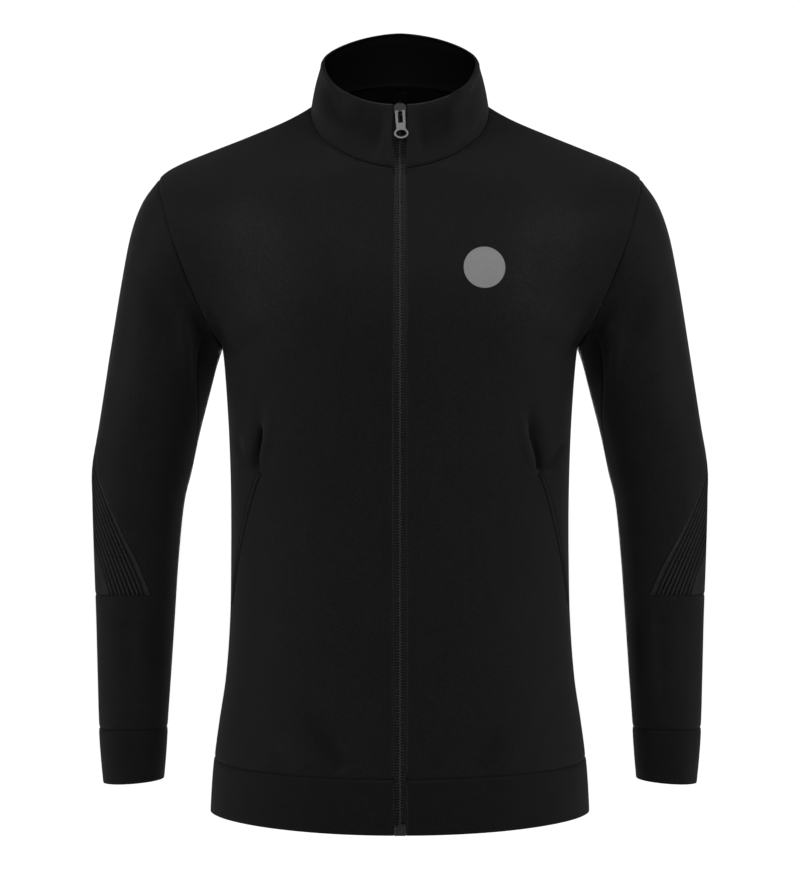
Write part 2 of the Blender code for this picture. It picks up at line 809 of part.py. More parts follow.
def front_at(x, z):
    """The point of the left front's chest with this x and z, found in PLACE_STEPS corrections."""
    level = (z - UNDERARM_Z) / YOKE_HEIGHT
    place = x / CHEST_SPAN
    for _ in range(PLACE_STEPS):
        point = row_points("front", level, [place])[0]
        level += (z - point.z) / YOKE_HEIGHT
        place += (x - point.x) / CHEST_SPAN
    return point


def build_pocket_bags():
    """Each bag lies flat behind the front, from near the side seam towards the centre."""
    heights = [z for z in TORSO_ROWS if POCKET_FOOT_Z - 2 * BAG_DROP <= z <= POCKET_TOP_Z + BAG_DROP]
    levels = [lower_level(z) for z in heights]
    rows = [row_points("front", level, front_places(level)[BAG_COLUMNS]) for level in levels]
    depth = CLOTH + SEAM_GAP
    for name, side in SIDES:
        add_layer("pocket_bag_" + name, rows, -depth - BAG_CLOTH, -depth, side, "pocket_cloth")


def build_tacks():
    """A bar tack across the upper end of each pocket."""
    length, height, proud = TACK_SIZE
    level = lower_level(POCKET_TOP_Z)
    span = row_length("front", level)
    middle = pocket_place(level)
    places = [middle + share * length / span for share in (-0.5, 0.0, 0.5)]
    rows = []
    for lift in (-height / 2, height / 2):
        rows.append(row_points("front", level + lift, places))
    for name, side in SIDES:
        add_layer("pocket_tack_" + name, rows, SEAM_GAP, SEAM_GAP + proud, side, "thread")


def build_print():
    """A round film on the left chest, made from the front's own points."""
    centre_x, centre_z = PRINT_CENTRE
    rows = []
    for step in range(PRINT_RINGS + 1):
        radius = PRINT_RADIUS * step / PRINT_RINGS
        row = []
        for spoke in range(PRINT_SPOKES):
            angle = math.tau * spoke / PRINT_SPOKES
            row.append(front_at(centre_x + radius * math.cos(angle), centre_z + radius * math.sin(angle)))
        rows.append(row)
    centre = rows[0][0]
    right = front_at(centre_x + PRINT_RADIUS, centre_z) - front_at(centre_x - PRINT_RADIUS, centre_z)
    up = front_at(centre_x, centre_z + PRINT_RADIUS) - front_at(centre_x, centre_z - PRINT_RADIUS)
    out = right.cross(up).normalized()
    points = []
    for reach in (PRINT_GAP + PRINT_FILM, PRINT_GAP):
        points.append(centre + out * reach)
        for row in rows[1:]:
            points += [point + out * reach for point in row]
    layer = 1 + PRINT_RINGS * PRINT_SPOKES
    rings = []
    for spoke in range(PRINT_SPOKES):
        after = (spoke + 1) % PRINT_SPOKES
        rings.append([0, 1 + spoke, 1 + after])
        for step in range(PRINT_RINGS - 1):
            base = 1 + step * PRINT_SPOKES
            far = base + PRINT_SPOKES
            rings.append([base + spoke, far + spoke, far + after, base + after])
    rings += [[corner + layer for corner in reversed(ring)] for ring in rings]
    rim = 1 + (PRINT_RINGS - 1) * PRINT_SPOKES
    for spoke in range(PRINT_SPOKES):
        a = rim + spoke
        b = rim + (spoke + 1) % PRINT_SPOKES
        rings.append([b, a, a + layer, b + layer])
    triangulate(add_object("chest_print", points, rings, "print_film"))


# ---- zip -----------------------------------------------------------------------------------
def zip_rows(reach):
    """Pairs of points from the hem edge to the collar's top: centre line, and reach from it."""
    torso_levels = [lower_level(z) for z in HEM_ROWS[:-1] + TORSO_ROWS]
    neck_steps = [step / YOKE_STEPS for step in range(1, FRONT_NECK_STEP)]
    edges = []
    for level in torso_levels + neck_steps:
        edges.append(row_points("front", level, front_places(level)[:2]))
    for row in collar_rows():
        edges.append(row[:2])
    rows = []
    for edge, beside in edges:
        share = (reach - edge.x) / (beside.x - edge.x)
        rows.append([Vector((0, edge.y, edge.z)), edge, edge.lerp(beside, share)])
    return rows


def cut_rows(rows, skip_low, skip_high):
    """The same rows, shortened at both ends by lengths along them."""
    def between(near, far, length):
        share = length / (far[0] - near[0]).length
        return [a.lerp(b, share) for a, b in zip(near, far)]
    low = between(rows[0], rows[1], skip_low)
    high = between(rows[-1], rows[-2], skip_high)
    return [low] + rows[1:-1] + [high]


def build_zip_cloth(rows):
    """Both tapes behind the front edges, and the closed coil between the edges."""
    cut = cut_rows(rows, BOX_LENGTH + TAPE_END_GAP, SLIDER_ABOVE + DIAMOND_LENGTH + TAPE_END_GAP)
    near = -(TAPE_DEPTH + TAPE_CLOTH)
    tape = [[row[0] + Vector((SEAM_GAP / 2, 0, 0)), row[1], row[2]] for row in cut]
    for name, side in SIDES:
        add_layer("zip_tape_" + name, tape, near, -TAPE_DEPTH, side, "zip_tape")
    half = Vector((COIL_HALF, 0, 0))
    coil = [[row[0] - half, row[0] + half] for row in cut]
    back = -(TAPE_DEPTH - SEAM_GAP)
    add_layer("zip_coil", coil, back, back + COIL_HEIGHT, 1, "coil")


def prism(name, outline, half_width, frame, slot, pivot=Vector()):
    """An outline in the (out, up) plane of a frame, thickened evenly to both sides."""
    origin, out, up = frame
    points = []
    for x in (-half_width, half_width):
        points += [origin + out * a + up * b + Vector((x, 0, 0)) for a, b in outline]
    count = len(outline)
    rings = [list(range(count)), list(range(2 * count - 1, count - 1, -1))]
    for i in range(count):
        j = (i + 1) % count
        rings.append([j, i, i + count, j + count])
    made = add_object(name, points, rings, slot, pivot)
    triangulate(made)
    return made


def combine(target, tool, operation):
    """Joins a tool with a target or cuts it away, and removes the tool."""
    step = target.modifiers.new(operation, "BOOLEAN")
    step.operation = operation
    step.object = tool
    step.solver = "EXACT"
    graph = bpy.context.evaluated_depsgraph_get()
    result = bpy.data.meshes.new_from_object(target.evaluated_get(graph))
    target.modifiers.clear()
    target.data = result
    bpy.data.objects.remove(tool)


def slider_frame(line):
    """Origin on the outer face at the slider, with the directions out of the cloth and up it."""
    up = (line[-1] - line[-2]).normalized()
    out = Vector((1, 0, 0)).cross(up).normalized()
    return line[-1] - up * SLIDER_ABOVE, out, up


def build_slider(frame):
    """Two plates joined by the diamond above the tapes' ends, and a bridge for the pull."""
    front = SEAM_GAP
    back = -(TAPE_DEPTH + TAPE_CLOTH + SEAM_GAP)
    top = SLIDER_ABOVE
    web = SLIDER_ABOVE - DIAMOND_LENGTH
    side_outline = [
        (front + SLIDER_PLATE, -SLIDER_BELOW),
        (front + SLIDER_PLATE, top),
        (back - SLIDER_PLATE, top),
        (back - SLIDER_PLATE, -SLIDER_BELOW),
        (back, -SLIDER_BELOW),
        (back, web),
        (front, web),
        (front, -SLIDER_BELOW),
    ]
    body = prism("zip_slider", side_outline, 2 * SLIDER_HALF_WIDTH, frame, "gunmetal")
    outline = plate_outline(SLIDER_CROWN)
    crown = plate("crown", outline, -TOOL_REACH, TOOL_REACH, frame, "gunmetal", Vector())
    combine(body, crown, "INTERSECT")
    foot = front + SLIDER_PLATE - BRIDGE_ROOT
    peak = front + SLIDER_PLATE + BRIDGE_HEIGHT
    high, low = BRIDGE_REACH
    arch = [(foot, low), (peak - BRIDGE_CORNER, low), (peak, low + BRIDGE_CORNER)]
    arch += [(peak, high - BRIDGE_CORNER), (peak - BRIDGE_CORNER, high), (foot, high)]
    arch += [(foot, high - BRIDGE_BAR), (peak - BRIDGE_BAR, high - BRIDGE_BAR)]
    arch += [(peak - BRIDGE_BAR, low + BRIDGE_BAR), (foot, low + BRIDGE_BAR)]
    bridge = prism("bridge", arch[::-1], BRIDGE_WIDTH / 2, frame, "gunmetal")
    combine(body, bridge, "UNION")
    triangulate(body)
    return peak - BRIDGE_BAR


def plate_outline(widths):
    """A closed outline from (half width, distance down) pairs, mirrored to the other side."""
    right = [(half, -down) for half, down in widths]
    return right[::-1] + [(-half, up) for half, up in right if half > 0]


def ring_pairs(radius_x, radius_z, middle, start, steps):
    """Pairs along an ellipse's side, from an angle off its top down to its bottom."""
    pairs = []
    for angle in spread(math.radians(start), math.pi, steps)[:-1]:
        pairs.append((radius_x * math.sin(angle), middle - radius_z * math.cos(angle)))
    return pairs + [(0, middle + radius_z)]


def plate(name, outline, near, far, frame, slot, pivot):
    """An outline in the (across, up) plane of a frame, between two distances out."""
    origin, out, up = frame
    across = up.cross(out)
    points = []
    for reach in (far, near):
        points += [origin + across * a + up * b + out * reach for a, b in outline]
    count = len(outline)
    rings = [list(range(count)), list(range(2 * count - 1, count - 1, -1))]
    for i in range(count):
        j = (i + 1) % count
        rings.append([i, i + count, j + count, j])
    made = add_object(name, points, rings, slot, pivot)
    triangulate(made)
    return made


def build_pull(frame, roof):
    """Pull tab with a window round the bridge's lower foot, a waist and an eye at its end."""
    origin, out, up = frame
    floor = SEAM_GAP + SLIDER_PLATE
    pivot = origin + out * (floor + roof) / 2 + up * PULL_PIVOT
    local = (pivot, out, Matrix.Rotation(math.radians(PULL_LEAN), 3, out) @ up)
    half = PULL_THICKNESS / 2
    window_half, window_end = PULL_WINDOW
    widths = [(PULL_HALF_WIDTH - PULL_CORNER, -PULL_PIN), (PULL_HALF_WIDTH, 0)]
    widths += [(PULL_HALF_WIDTH, window_end)]
    widths += [(PULL_WAIST, reach) for reach in PULL_WAIST_REACH]
    widths += ring_pairs(*PULL_RING, PULL_RING_PLACE, PULL_RING_START, 8)
    pull = plate("zip_pull", plate_outline(widths), -half, half, local, "gunmetal", pivot)
    window = [(window_half, -PULL_PIN), (-window_half, -PULL_PIN)]
    window += [(-window_half, -window_end), (window_half, -window_end)]
    cutter = plate("window", window, -TOOL_REACH, TOOL_REACH, local, "gunmetal", pivot)
    combine(pull, cutter, "DIFFERENCE")
    eye = []
    for angle in spread(0, math.tau, 16)[:-1]:
        across = PULL_EYE[0] * math.cos(angle)
        eye.append((across, PULL_EYE[1] * math.sin(angle) - PULL_RING_PLACE))
    cutter = plate("eye", eye, -TOOL_REACH, TOOL_REACH, local, "gunmetal", pivot)
    combine(pull, cutter, "DIFFERENCE")
    triangulate(pull)


def build_box(line):
    """Bottom box between the front edges, below the coil and the tapes."""
    up = (line[1] - line[0]).normalized()
    out = Vector((1, 0, 0)).cross(up).normalized()
    frame = (line[0] + up * SEAM_GAP, out, up)
    back = -(TAPE_DEPTH + TAPE_CLOTH)
    outline = [(BOX_PROUD, 0), (BOX_PROUD, BOX_LENGTH), (back, BOX_LENGTH), (back, 0)]
    prism("zip_box", outline, BOX_HALF_WIDTH, frame, "gunmetal")


def build_zip():
    rows = zip_rows(TAPE_HALF)
    line = [row[0] for row in rows]
    build_zip_cloth(rows)
    frame = slider_frame(line)
    roof = build_slider(frame)
    build_pull(frame, roof)
    build_box(line)


def main():
    for old in list(bpy.data.objects):
        bpy.data.objects.remove(old, do_unlink=True)
    build_cloth()
    build_pocket_bags()
    build_tacks()
    build_print()
    build_zip()


main()
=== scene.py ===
"""Looks of the track jacket: fine cloth with folds, seams, stitching and a toothed zip.

Sizes are in millimetres and become metres when a mesh is made. +X is the wearer's left, -Y the
front and +Z up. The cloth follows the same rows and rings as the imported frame, at a finer step.
Every cloth piece is a closed wall with a rolled edge, pressed down a little at its seams.
"""

import math
from collections import namedtuple

import bpy
import numpy as np
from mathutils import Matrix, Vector
from mathutils.bvhtree import BVHTree
from mathutils.kdtree import KDTree


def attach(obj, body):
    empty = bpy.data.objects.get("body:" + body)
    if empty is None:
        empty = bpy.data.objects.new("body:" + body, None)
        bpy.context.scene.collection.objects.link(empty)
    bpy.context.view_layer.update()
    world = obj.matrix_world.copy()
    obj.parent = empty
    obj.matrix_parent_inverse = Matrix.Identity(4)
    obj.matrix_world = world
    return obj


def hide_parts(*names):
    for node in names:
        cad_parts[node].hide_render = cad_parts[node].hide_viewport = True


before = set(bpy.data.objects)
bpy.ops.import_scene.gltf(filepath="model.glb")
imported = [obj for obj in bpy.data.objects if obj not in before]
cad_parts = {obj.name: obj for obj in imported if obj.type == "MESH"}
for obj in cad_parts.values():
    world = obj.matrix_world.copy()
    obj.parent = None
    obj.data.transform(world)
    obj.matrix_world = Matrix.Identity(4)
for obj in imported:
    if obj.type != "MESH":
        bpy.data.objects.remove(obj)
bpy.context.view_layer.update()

MM = 0.001
SIDES = (("right", -1), ("left", 1))

# ---- view: distance in front of the side seams and height, for the photograph's angle ----
VIEW_DISTANCE = 2400
VIEW_HEIGHT = -319
VIEW_TALL = 870
SENSOR = 36

# ---- torso, as in the frame ----
TorsoSection = namedtuple("TorsoSection", "z half_width front back dip")
TORSO = (
    TorsoSection(-694, 189.2, 119, 120, 6.2),
    TorsoSection(-639, 185.2, 121, 118, 7.5),
    TorsoSection(-604, 180.5, 120.5, 114, 4.5),
    TorsoSection(-560, 173.8, 119, 108, 2),
    TorsoSection(-500, 169.4, 117, 100, 0),
    TorsoSection(-440, 168.4, 115, 94, 0),
    TorsoSection(-380, 168.8, 115, 93, 0),
    TorsoSection(-320, 170.8, 118, 99, 0),
    TorsoSection(-270, 173.8, 121.5, 108, 0),
    TorsoSection(-231, 177.0, 123.5, 115, 0),
)
CentrePoint = namedtuple("CentrePoint", "z depth")
CHEST_CENTRE = (
    CentrePoint(-231, 123.5),
    CentrePoint(-190, 122.0),
    CentrePoint(-150, 116.5),
    CentrePoint(-105, 102.5),
)
BACK_CENTRE = (
    CentrePoint(-231, 115),
    CentrePoint(-180, 120),
    CentrePoint(-130, 119),
    CentrePoint(-80, 110),
    CentrePoint(-20, 88),
)
HEM_EDGE_Z = -694
HEM_SEAM_Z = -639
UNDERARM_Z = -231
NECK_CLIMB = 0.6
SIDE_FULLNESS = 0.56
YOKE_FULLNESS = 0.36
YOKE_BLEND_CLIMB = 0.45
YOKE_TURN_POWER = 1.5
STRAIGHT_CLIMB = 0.6
SHOULDER_CROWN = 8
SHOULDER_TURN = 12
SHOULDER_ROUNDING = 0.7
HEM_LIFT_PLACE = 0.45
HEM_EDGE_LIFT_PLACE = 1.0
NECK_FLARE = {"front": 3, "back": 15}
ROW_SAMPLES = 160

# ---- neck and collar ----
NECK_HALF_WIDTH = 90
NECK_SIDE_Y = 14
NECK_SIDE_Z = 5.8
NECK_FRONT_REACH = 96
NECK_BACK_REACH = 46
NECK_FRONT_SQUARENESS = 1.8
NECK_SPREAD = 1.3
NECK_SLOPE = 0.695
COLLAR_HALF_WIDTH = 77.5
COLLAR_SIDE_Y = 8
COLLAR_FRONT_REACH = 74
COLLAR_BACK_REACH = 48
COLLAR_BACK_POWER = 1.2
COLLAR_FRONT_Z = 3
COLLAR_SLOPE = 0.73
COLLAR_BULGE = 1

# ---- sleeves ----
SleeveSection = namedtuple("SleeveSection", "outer_x outer_z inner_x inner_z front back mid_y seam")
SLEEVE = (
    SleeveSection(239.8, -63.5, 177.0, -231.0, 66, 70, 0, 144),
    SleeveSection(256.5, -87, 177.9, -233.0, 67, 72, 0, 141),
    SleeveSection(268.0, -118, 179.0, -236.5, 68, 73, 0, 139),
    SleeveSection(277.0, -162, 180.4, -241.0, 68, 72, 1, 138),
    SleeveSection(285.4, -213, 183.5, -251.0, 66, 68, 2, 139),
    SleeveSection(293.0, -262, 190.5, -278.0, 63, 64, 3, 147),
    SleeveSection(300.5, -309, 200.5, -317.0, 59, 60, 4, 165),
    SleeveSection(307.5, -350, 208.5, -354.0, 56, 58, 4, 178),
    SleeveSection(307.3, -385, 216.0, -387.0, 53, 55, 2, 180),
    SleeveSection(305.5, -440, 221.0, -440.0, 48, 50, -2, 180),
    SleeveSection(303.0, -500, 224.8, -500.0, 44, 45, -6, 180),
    SleeveSection(301.0, -560, 228.4, -560.0, 39, 40, -9, 180),
    SleeveSection(299.0, -609, 231.6, -609.0, 35.5, 36, -11, 180),
    SleeveSection(294.3, -664, 235.3, -660.0, 32, 32, -12, 180),
)
CUFF_SEAM = 12
CUFF_EDGE = 13
ARMHOLE_BULGE = 7
ARMHOLE_BULGE_RINGS = 4
SLEEVE_SQUARENESS = 2.1
SLEEVE_CENTRE = 265
ELBOW_APEX_Z = {"right": -320, "left": -334}
ELBOW_BASE_Z = -477
ELBOW_HALF_ANGLE = 118
ELBOW_ARCH = 0.8

# ---- elbow grooves: pressed lines beside the panel's front seam, at distances from that seam ----
GROOVE_START = 3.8
GROOVE_PITCH = 4.0
GROOVE_SPREAD = 0.03
GROOVE_COUNT = 8
GROOVE_DEPTH = 1.4
GROOVE_SHARPNESS = 1.5
GROOVE_STEPS = 8
# painted shade: how much darker the colour is along each groove
GROOVE_SHADE = 0.82
GROOVE_FRONT_SHARE = 0.7
WEDGE_TOP_Z = -350
WEDGE_WIDTH = 3.0
WEDGE_START = 2.3
WEDGE_FADE = 1.2

# ---- pockets ----
POCKET_TOP_Z = -357
POCKET_FOOT_Z = -487
POCKET_TOP_PLACE = 0.640
POCKET_FOOT_PLACE = 0.900
POCKET_CURVE = 0.85
WELT_WIDTH = 4.6
WELT_LIFT = 0.5
BAG_TOP_Z = -325
BAG_FOOT_Z = -540
BAG_DEPTH = 1.9
BAG_CLOTH = 1.0
BAG_PLACES = (0.2, 0.93)
BAG_ROWS = 60
BAG_COLUMNS = 34
TACK_LENGTH = 7.5
TACK_BARS = 9
TACK_TILT = 0.12
TACK_RAISE = 0.8
TACK_LIFT = 0.25
TACK_STITCH_HALF = 1.0
TACK_STITCH_RADII = (0.42, 0.4)

# ---- zip ----
ZIP_SLOT_HALF = 6.2
PLACKET_WIDTH = 8
TAPE_HALF = 14
TAPE_DEPTH = 2.7
TAPE_CLOTH = 1.0
TAPE_END = 14
TOOTH_PITCH = 1.35
TOOTH_REACH = 4.0
TOOTH_LAP = 0.9
TOOTH_HALF_HEIGHT = 0.52
TOOTH_HALF_DEPTH = 0.8
TOOTH_DEPTH = 1.3
TAPE_END_LEAN = 1.5
TAPE_END_REACHES = (0.6, 6.4)
TAPE_END_Z = 3.2
# painted light up the zip's upper half, and painted shade where it passes the collar
ZIP_PAINTED_LIGHT = 2.5
ZIP_PAINTED_LIGHT_Z = (-320, -80)
ZIP_COLLAR_PAINTED_SHADE = 0.12
ZIP_COLLAR_Z = (-62, -46)
BOX_LENGTH = 10
BOX_STEP = 0.5
BOX_END_SHRINK = (0.07, 0.0245)
BOX_TOOTH_GAP = 0.8
SLIDER_GAP = 4.5
METAL_EDGE = 0.22
METAL_EDGE_ANGLE = 35

# ---- print ----
PRINT_CENTRE = (80.6, -158.9)
PRINT_RADIUS = 20
PRINT_FILM = 0.35
PRINT_RING_RADIUS = 16.8
PRINT_RING_WIDTH = 0.7
PRINT_RING_DEPTH = 0.12

# ---- cloth ----
CLOTH = 1.5
DOUBLED_CLOTH = 2.4
WELD = 0.02
WELD_SHIFT = 0.137
SEAM_REACH = 2.6
SEAM_TRIM = 0.12
SEAM_LAP = 1.0
SEAM_DEPTH = 0.75
SEAM_WIDTH = 1.5
SEAM_STEP = 0.6
BORDER_STEP = 1.5
SLEEVE_SEAM_SAMPLES = 700
RIM_STEPS = 3
BAND_PUFF = 0.7
BAND_PUFF_POWER = 0.7
EDGE_MARKS = (0.0, 0.6, 1.3, 2.3, 3.8)
EDGE_SHARES = (0, 0.006, 0.015, 0.028)
EASE_ROWS = 16
EASE_MARGIN = 25
EASE_PASSES = 80
NECK_EASE_ROWS = 11
NECK_EASE_MARGIN = 30
CENTRE_WIDTH = 20
CENTRE_FADE = 18
PIT_ANGLES = (110, 176)
PIT_FILL = 10
PIT_WIDTH = 12
PIT_POWER = 0.7
PIT_SAMPLES = 40
ARMHOLE_SAMPLES = 300
ARMHOLE_MARGIN = 6
# painted shading in the cloth's colour: its strength, the fold height that gives it fully, and its width
# beside seams
SHADE = 0.6
SHADE_HEIGHT = 4.0
SEAM_SHADE_WIDTH = 0.9
FAR_FROM_SEAM = 1e3
STITCH_LENGTH = 2.3
STITCH_PITCH = 3.1
STITCH_RADIUS = 0.24
STITCH_SINK = 0.3
PLACKET_STITCH_REACH = ZIP_SLOT_HALF + PLACKET_WIDTH
NECK_STITCH_OFFSET = 3.0
NECK_STITCH_DROP = 1.2
NECK_STITCH_MARGIN = 2
POCKET_STITCH_OFFSET = WELT_WIDTH / 2 + 1.5
NECK_LINE_SAMPLES = 120
POCKET_LINE_SAMPLES = 60


# ---- small helpers ----
SOLVE_STEPS = 40


def mix(start, end, share):
    return start + (end - start) * share


def smooth(share):
    share = np.clip(share, 0.0, 1.0)
    return share * share * (3 - 2 * share)


def bell(distance, width):
    return np.exp(-(distance / width) ** 2)


def lengths_of(vectors):
    return np.linalg.norm(vectors, axis=-1)


def unit(vectors):
    return vectors / np.maximum(lengths_of(vectors), 1e-9)[..., None]


def spline(knots, values, place):
    """A smooth curve through the values, straight on beyond its ends."""
    last = len(knots) - 1
    slopes = []
    for i in range(last + 1):
        low = max(0, i - 1)
        high = min(last, i + 1)
        slopes.append((values[high] - values[low]) / (knots[high] - knots[low]))
    if place <= knots[0]:
        return values[0] + slopes[0] * (place - knots[0])
    if place >= knots[last]:
        return values[last] + slopes[last] * (place - knots[last])
    i = max(k for k in range(last) if knots[k] <= place)
    span = knots[i + 1] - knots[i]
    t = (place - knots[i]) / span
    start = (1 + 2 * t) * (1 - t) ** 2 * values[i] + t * (1 - t) ** 2 * span * slopes[i]
    end = t * t * (3 - 2 * t) * values[i + 1] - t * t * (1 - t) * span * slopes[i + 1]
    return start + end


def table_value(table, key, column, place):
    return spline([getattr(row, key) for row in table], [getattr(row, column) for row in table], place)


def solve(function, low, high):
    """The place between low and high where a rising or falling function is zero."""
    rising = function(high) > function(low)
    for _ in range(SOLVE_STEPS):
        middle = (low + high) / 2
        if (function(middle) > 0) == rising:
            high = middle
        else:
            low = middle
    return (low + high) / 2


def path_through(points, count):
    """Points of a smooth line through a few given ones."""
    points = np.array(points, float)
    knots = list(range(len(points)))
    places = np.linspace(0, len(points) - 1, count)
    columns = [[spline(knots, list(column), place) for place in places] for column in points.T]
    return np.array(columns).T


def along_line(points, marks):
    """Points of a line; marks is a function from its length to distances from its start."""
    lengths = np.concatenate([[0], lengths_of(np.diff(points, axis=0)).cumsum()])
    places = marks(lengths[-1])
    return np.stack([np.interp(places, lengths, points[:, k]) for k in range(3)], axis=-1)


def mirrored(points, side):
    return points * np.array((side, 1, 1))


def on_both_sides(points):
    return [mirrored(points, side) for _, side in SIDES]


# ---- neck seam and collar ----
def round_neck(angles):
    """Sines and cosines of angles round the neck, and which of them lie in front."""
    angles = np.atleast_1d(np.asarray(angles, float))
    return np.sin(np.radians(angles)), np.cos(np.radians(angles)), angles < 90


def from_neck(points):
    """Level directions from the neck's middle line to points."""
    return unit(points * (1, 1, 0) - (0, COLLAR_SIDE_Y, 0))


def neck_points(angles):
    """Points of the neck seam; 0 degrees is the front, 90 the shoulder and 180 the back."""
    across, along, front = round_neck(angles)
    power = 2 / NECK_FRONT_SQUARENESS
    x = NECK_HALF_WIDTH * np.where(front, np.abs(across) ** power, across)
    forward = np.where(front, NECK_FRONT_REACH * np.abs(along) ** power, NECK_BACK_REACH * along)
    y = NECK_SIDE_Y - forward
    return np.stack([x, y, NECK_SIDE_Z + NECK_SLOPE * (y - NECK_SIDE_Y)], axis=-1)


def collar_top_points(angles):
    across, along, front = round_neck(angles)
    power = np.where(front, 1, COLLAR_BACK_POWER)
    reach = np.where(front, -COLLAR_FRONT_REACH, COLLAR_BACK_REACH)
    x = COLLAR_HALF_WIDTH * np.abs(across) ** power
    y = COLLAR_SIDE_Y + reach * np.abs(along) ** power
    rise = COLLAR_SLOPE * (y - COLLAR_SIDE_Y + COLLAR_FRONT_REACH)
    return np.stack([x, y, COLLAR_FRONT_Z + rise], axis=-1)


def collar_points(angles, height):
    """Points of the collar; height is 0 at the neck seam and 1 at the top edge."""
    points = mix(neck_points(angles), collar_top_points(angles), height)
    return points + from_neck(points) * COLLAR_BULGE * math.sin(math.pi * height)


NECK_START = solve(lambda angle: neck_points(angle)[0, 0] - ZIP_SLOT_HALF, 0, 45)
COLLAR_TOP_START = solve(lambda angle: collar_top_points(angle)[0, 0] - ZIP_SLOT_HALF, 0, 45)


# ---- sleeve surface ----
def sleeve_value(column, ring):
    return spline(list(range(len(SLEEVE))), [getattr(row, column) for row in SLEEVE], ring)


def sleeve_points(ring, angles):
    """Points of the left sleeve; 0 degrees is the outer line, 90 the front, 180 the inner line."""
    angles = np.radians(np.atleast_1d(np.asarray(angles, float)))
    outer = np.array((sleeve_value("outer_x", ring), 0, sleeve_value("outer_z", ring)))
    inner = np.array((sleeve_value("inner_x", ring), 0, sleeve_value("inner_z", ring)))
    power = 2 / SLEEVE_SQUARENESS
    along = np.sign(np.cos(angles)) * np.abs(np.cos(angles)) ** power
    across = np.sign(np.sin(angles)) * np.abs(np.sin(angles)) ** power
    depth = np.where(across > 0, sleeve_value("front", ring), sleeve_value("back", ring))
    points = (outer + inner) / 2 + (outer - inner) / 2 * along[:, None]
    bulge = ARMHOLE_BULGE * max(0.0, 1 - ring / ARMHOLE_BULGE_RINGS)
    points[:, 0] += np.where(across > 0, bulge * across * across, 0)
    points[:, 1] = sleeve_value("mid_y", ring) - depth * across
    return points


def ring_at(z, low, high):
    return solve(lambda ring: sleeve_value("outer_z", ring) - z, low, high)


GIRTH_ANGLES = np.linspace(0, 360, 73)


def girth(ring):
    """Length round the sleeve for one degree of a ring."""
    loop = sleeve_points(ring, GIRTH_ANGLES)
    return lengths_of(np.diff(loop, axis=0)).sum() / 360


# ---- torso surface ----
CHEST_LINE = CHEST_CENTRE + (CentrePoint(neck_points(NECK_START)[0, 2], -neck_points(NECK_START)[0, 1]),)
BACK_LINE = BACK_CENTRE + (CentrePoint(neck_points(180)[0, 2], neck_points(180)[0, 1]),)


def neck_share(climb):
    """How far along its half of the neck seam a row above the underarm starts."""
    return max(0.0, (climb - NECK_CLIMB) / (1 - NECK_CLIMB))


def yoke_start(face, climb):
    """The inner end of a row above the underarm: on the centre line, then on the neck seam."""
    front = face == "front"
    share = neck_share(climb)
    if share > 0:
        share = share ** NECK_SPREAD if front else share
        return neck_points(mix(NECK_START if front else 180, 90, share))[0]
    line = CHEST_LINE if front else BACK_LINE
    z = mix(UNDERARM_Z, line[-1].z, climb / NECK_CLIMB)
    depth = table_value(line, "z", "depth", z)
    return np.array((ZIP_SLOT_HALF if front else 0, -depth if front else depth, z))


def row_curve(face, level):
    """Four control points of a row from the centre to the side seam, armhole or shoulder tip.

    A level up to 0 is a height measured down from the underarm in millimetres. A level from 0
    to 1 climbs from the underarm to the shoulder seam.
    """
    sign = -1 if face == "front" else 1
    if level <= 0:
        z = UNDERARM_Z + level
        depth = table_value(TORSO, "z", face, z)
        inner_x = ZIP_SLOT_HALF if face == "front" else 0
        start = np.array((inner_x, sign * depth, z - table_value(TORSO, "z", "dip", z)))
        end = np.array((table_value(TORSO, "z", "half_width", z), 0, z))
        climb = 0
    else:
        start = yoke_start(face, level)
        end = sleeve_points(0, 180 + sign * 180 * level)[0]
        climb = level
    fullness = mix(SIDE_FULLNESS, YOKE_FULLNESS, smooth(climb / YOKE_BLEND_CLIMB))
    straight = smooth((climb - STRAIGHT_CLIMB) / (1 - STRAIGHT_CLIMB))
    span = end - start
    chord = unit(span * (1, 1, 0))
    turn = math.radians(90 * (1 - climb) ** YOKE_TURN_POWER)
    leave = np.array((1, span[1] / span[0] * straight, 0))
    arrive = unit(mix(np.array((math.cos(turn), -sign * math.sin(turn), 0)), chord, straight))
    reach = fullness * (abs(span[0]) * abs(arrive[0]) + abs(span[1]) * abs(arrive[1]))
    second = start + leave * fullness * span[0]
    third = end - arrive * reach
    second[2] = mix(start[2], end[2], (second[0] - start[0]) / span[0])
    third[2] = mix(start[2], end[2], (third[0] - start[0]) / span[0])
    second[2] -= NECK_FLARE[face] * math.sin(math.pi * neck_share(climb))
    if level <= 0:
        second[2] = start[2]
        above_edge = min(1.0, (z - HEM_EDGE_Z) / (HEM_SEAM_Z - HEM_EDGE_Z))
        third[2] = mix(start[2], end[2], mix(HEM_EDGE_LIFT_PLACE, HEM_LIFT_PLACE, above_edge))
    return start, second, third, end


def row_points(face, level, marks):
    """Points of a row at the distances that marks gives, counted from its inner end."""
    first, second, third, fourth = row_curve(face, level)
    t = np.linspace(0, 1, ROW_SAMPLES + 1)[:, None]
    points = first * (1 - t) ** 3 + second * 3 * t * (1 - t) ** 2
    points = points + third * 3 * t * t * (1 - t) + fourth * t ** 3
    share = np.clip((points[:, 0] - first[0]) / (fourth[0] - first[0]), 0, 1)
    crown = SHOULDER_CROWN * max(0.0, level) ** 2
    points[:, 2] += crown * share * (1 - share ** SHOULDER_TURN) ** SHOULDER_ROUNDING
    return along_line(points, marks)


# ---- where the steps of a grid fall ----
def stepped(stops, counts):
    """Values from stop to stop, with a number of even steps between each pair."""
    values = [stops[0]]
    for low, high, count in zip(stops, stops[1:], counts):
        values += list(np.linspace(low, high, count + 1)[1:])
    return np.array(values)


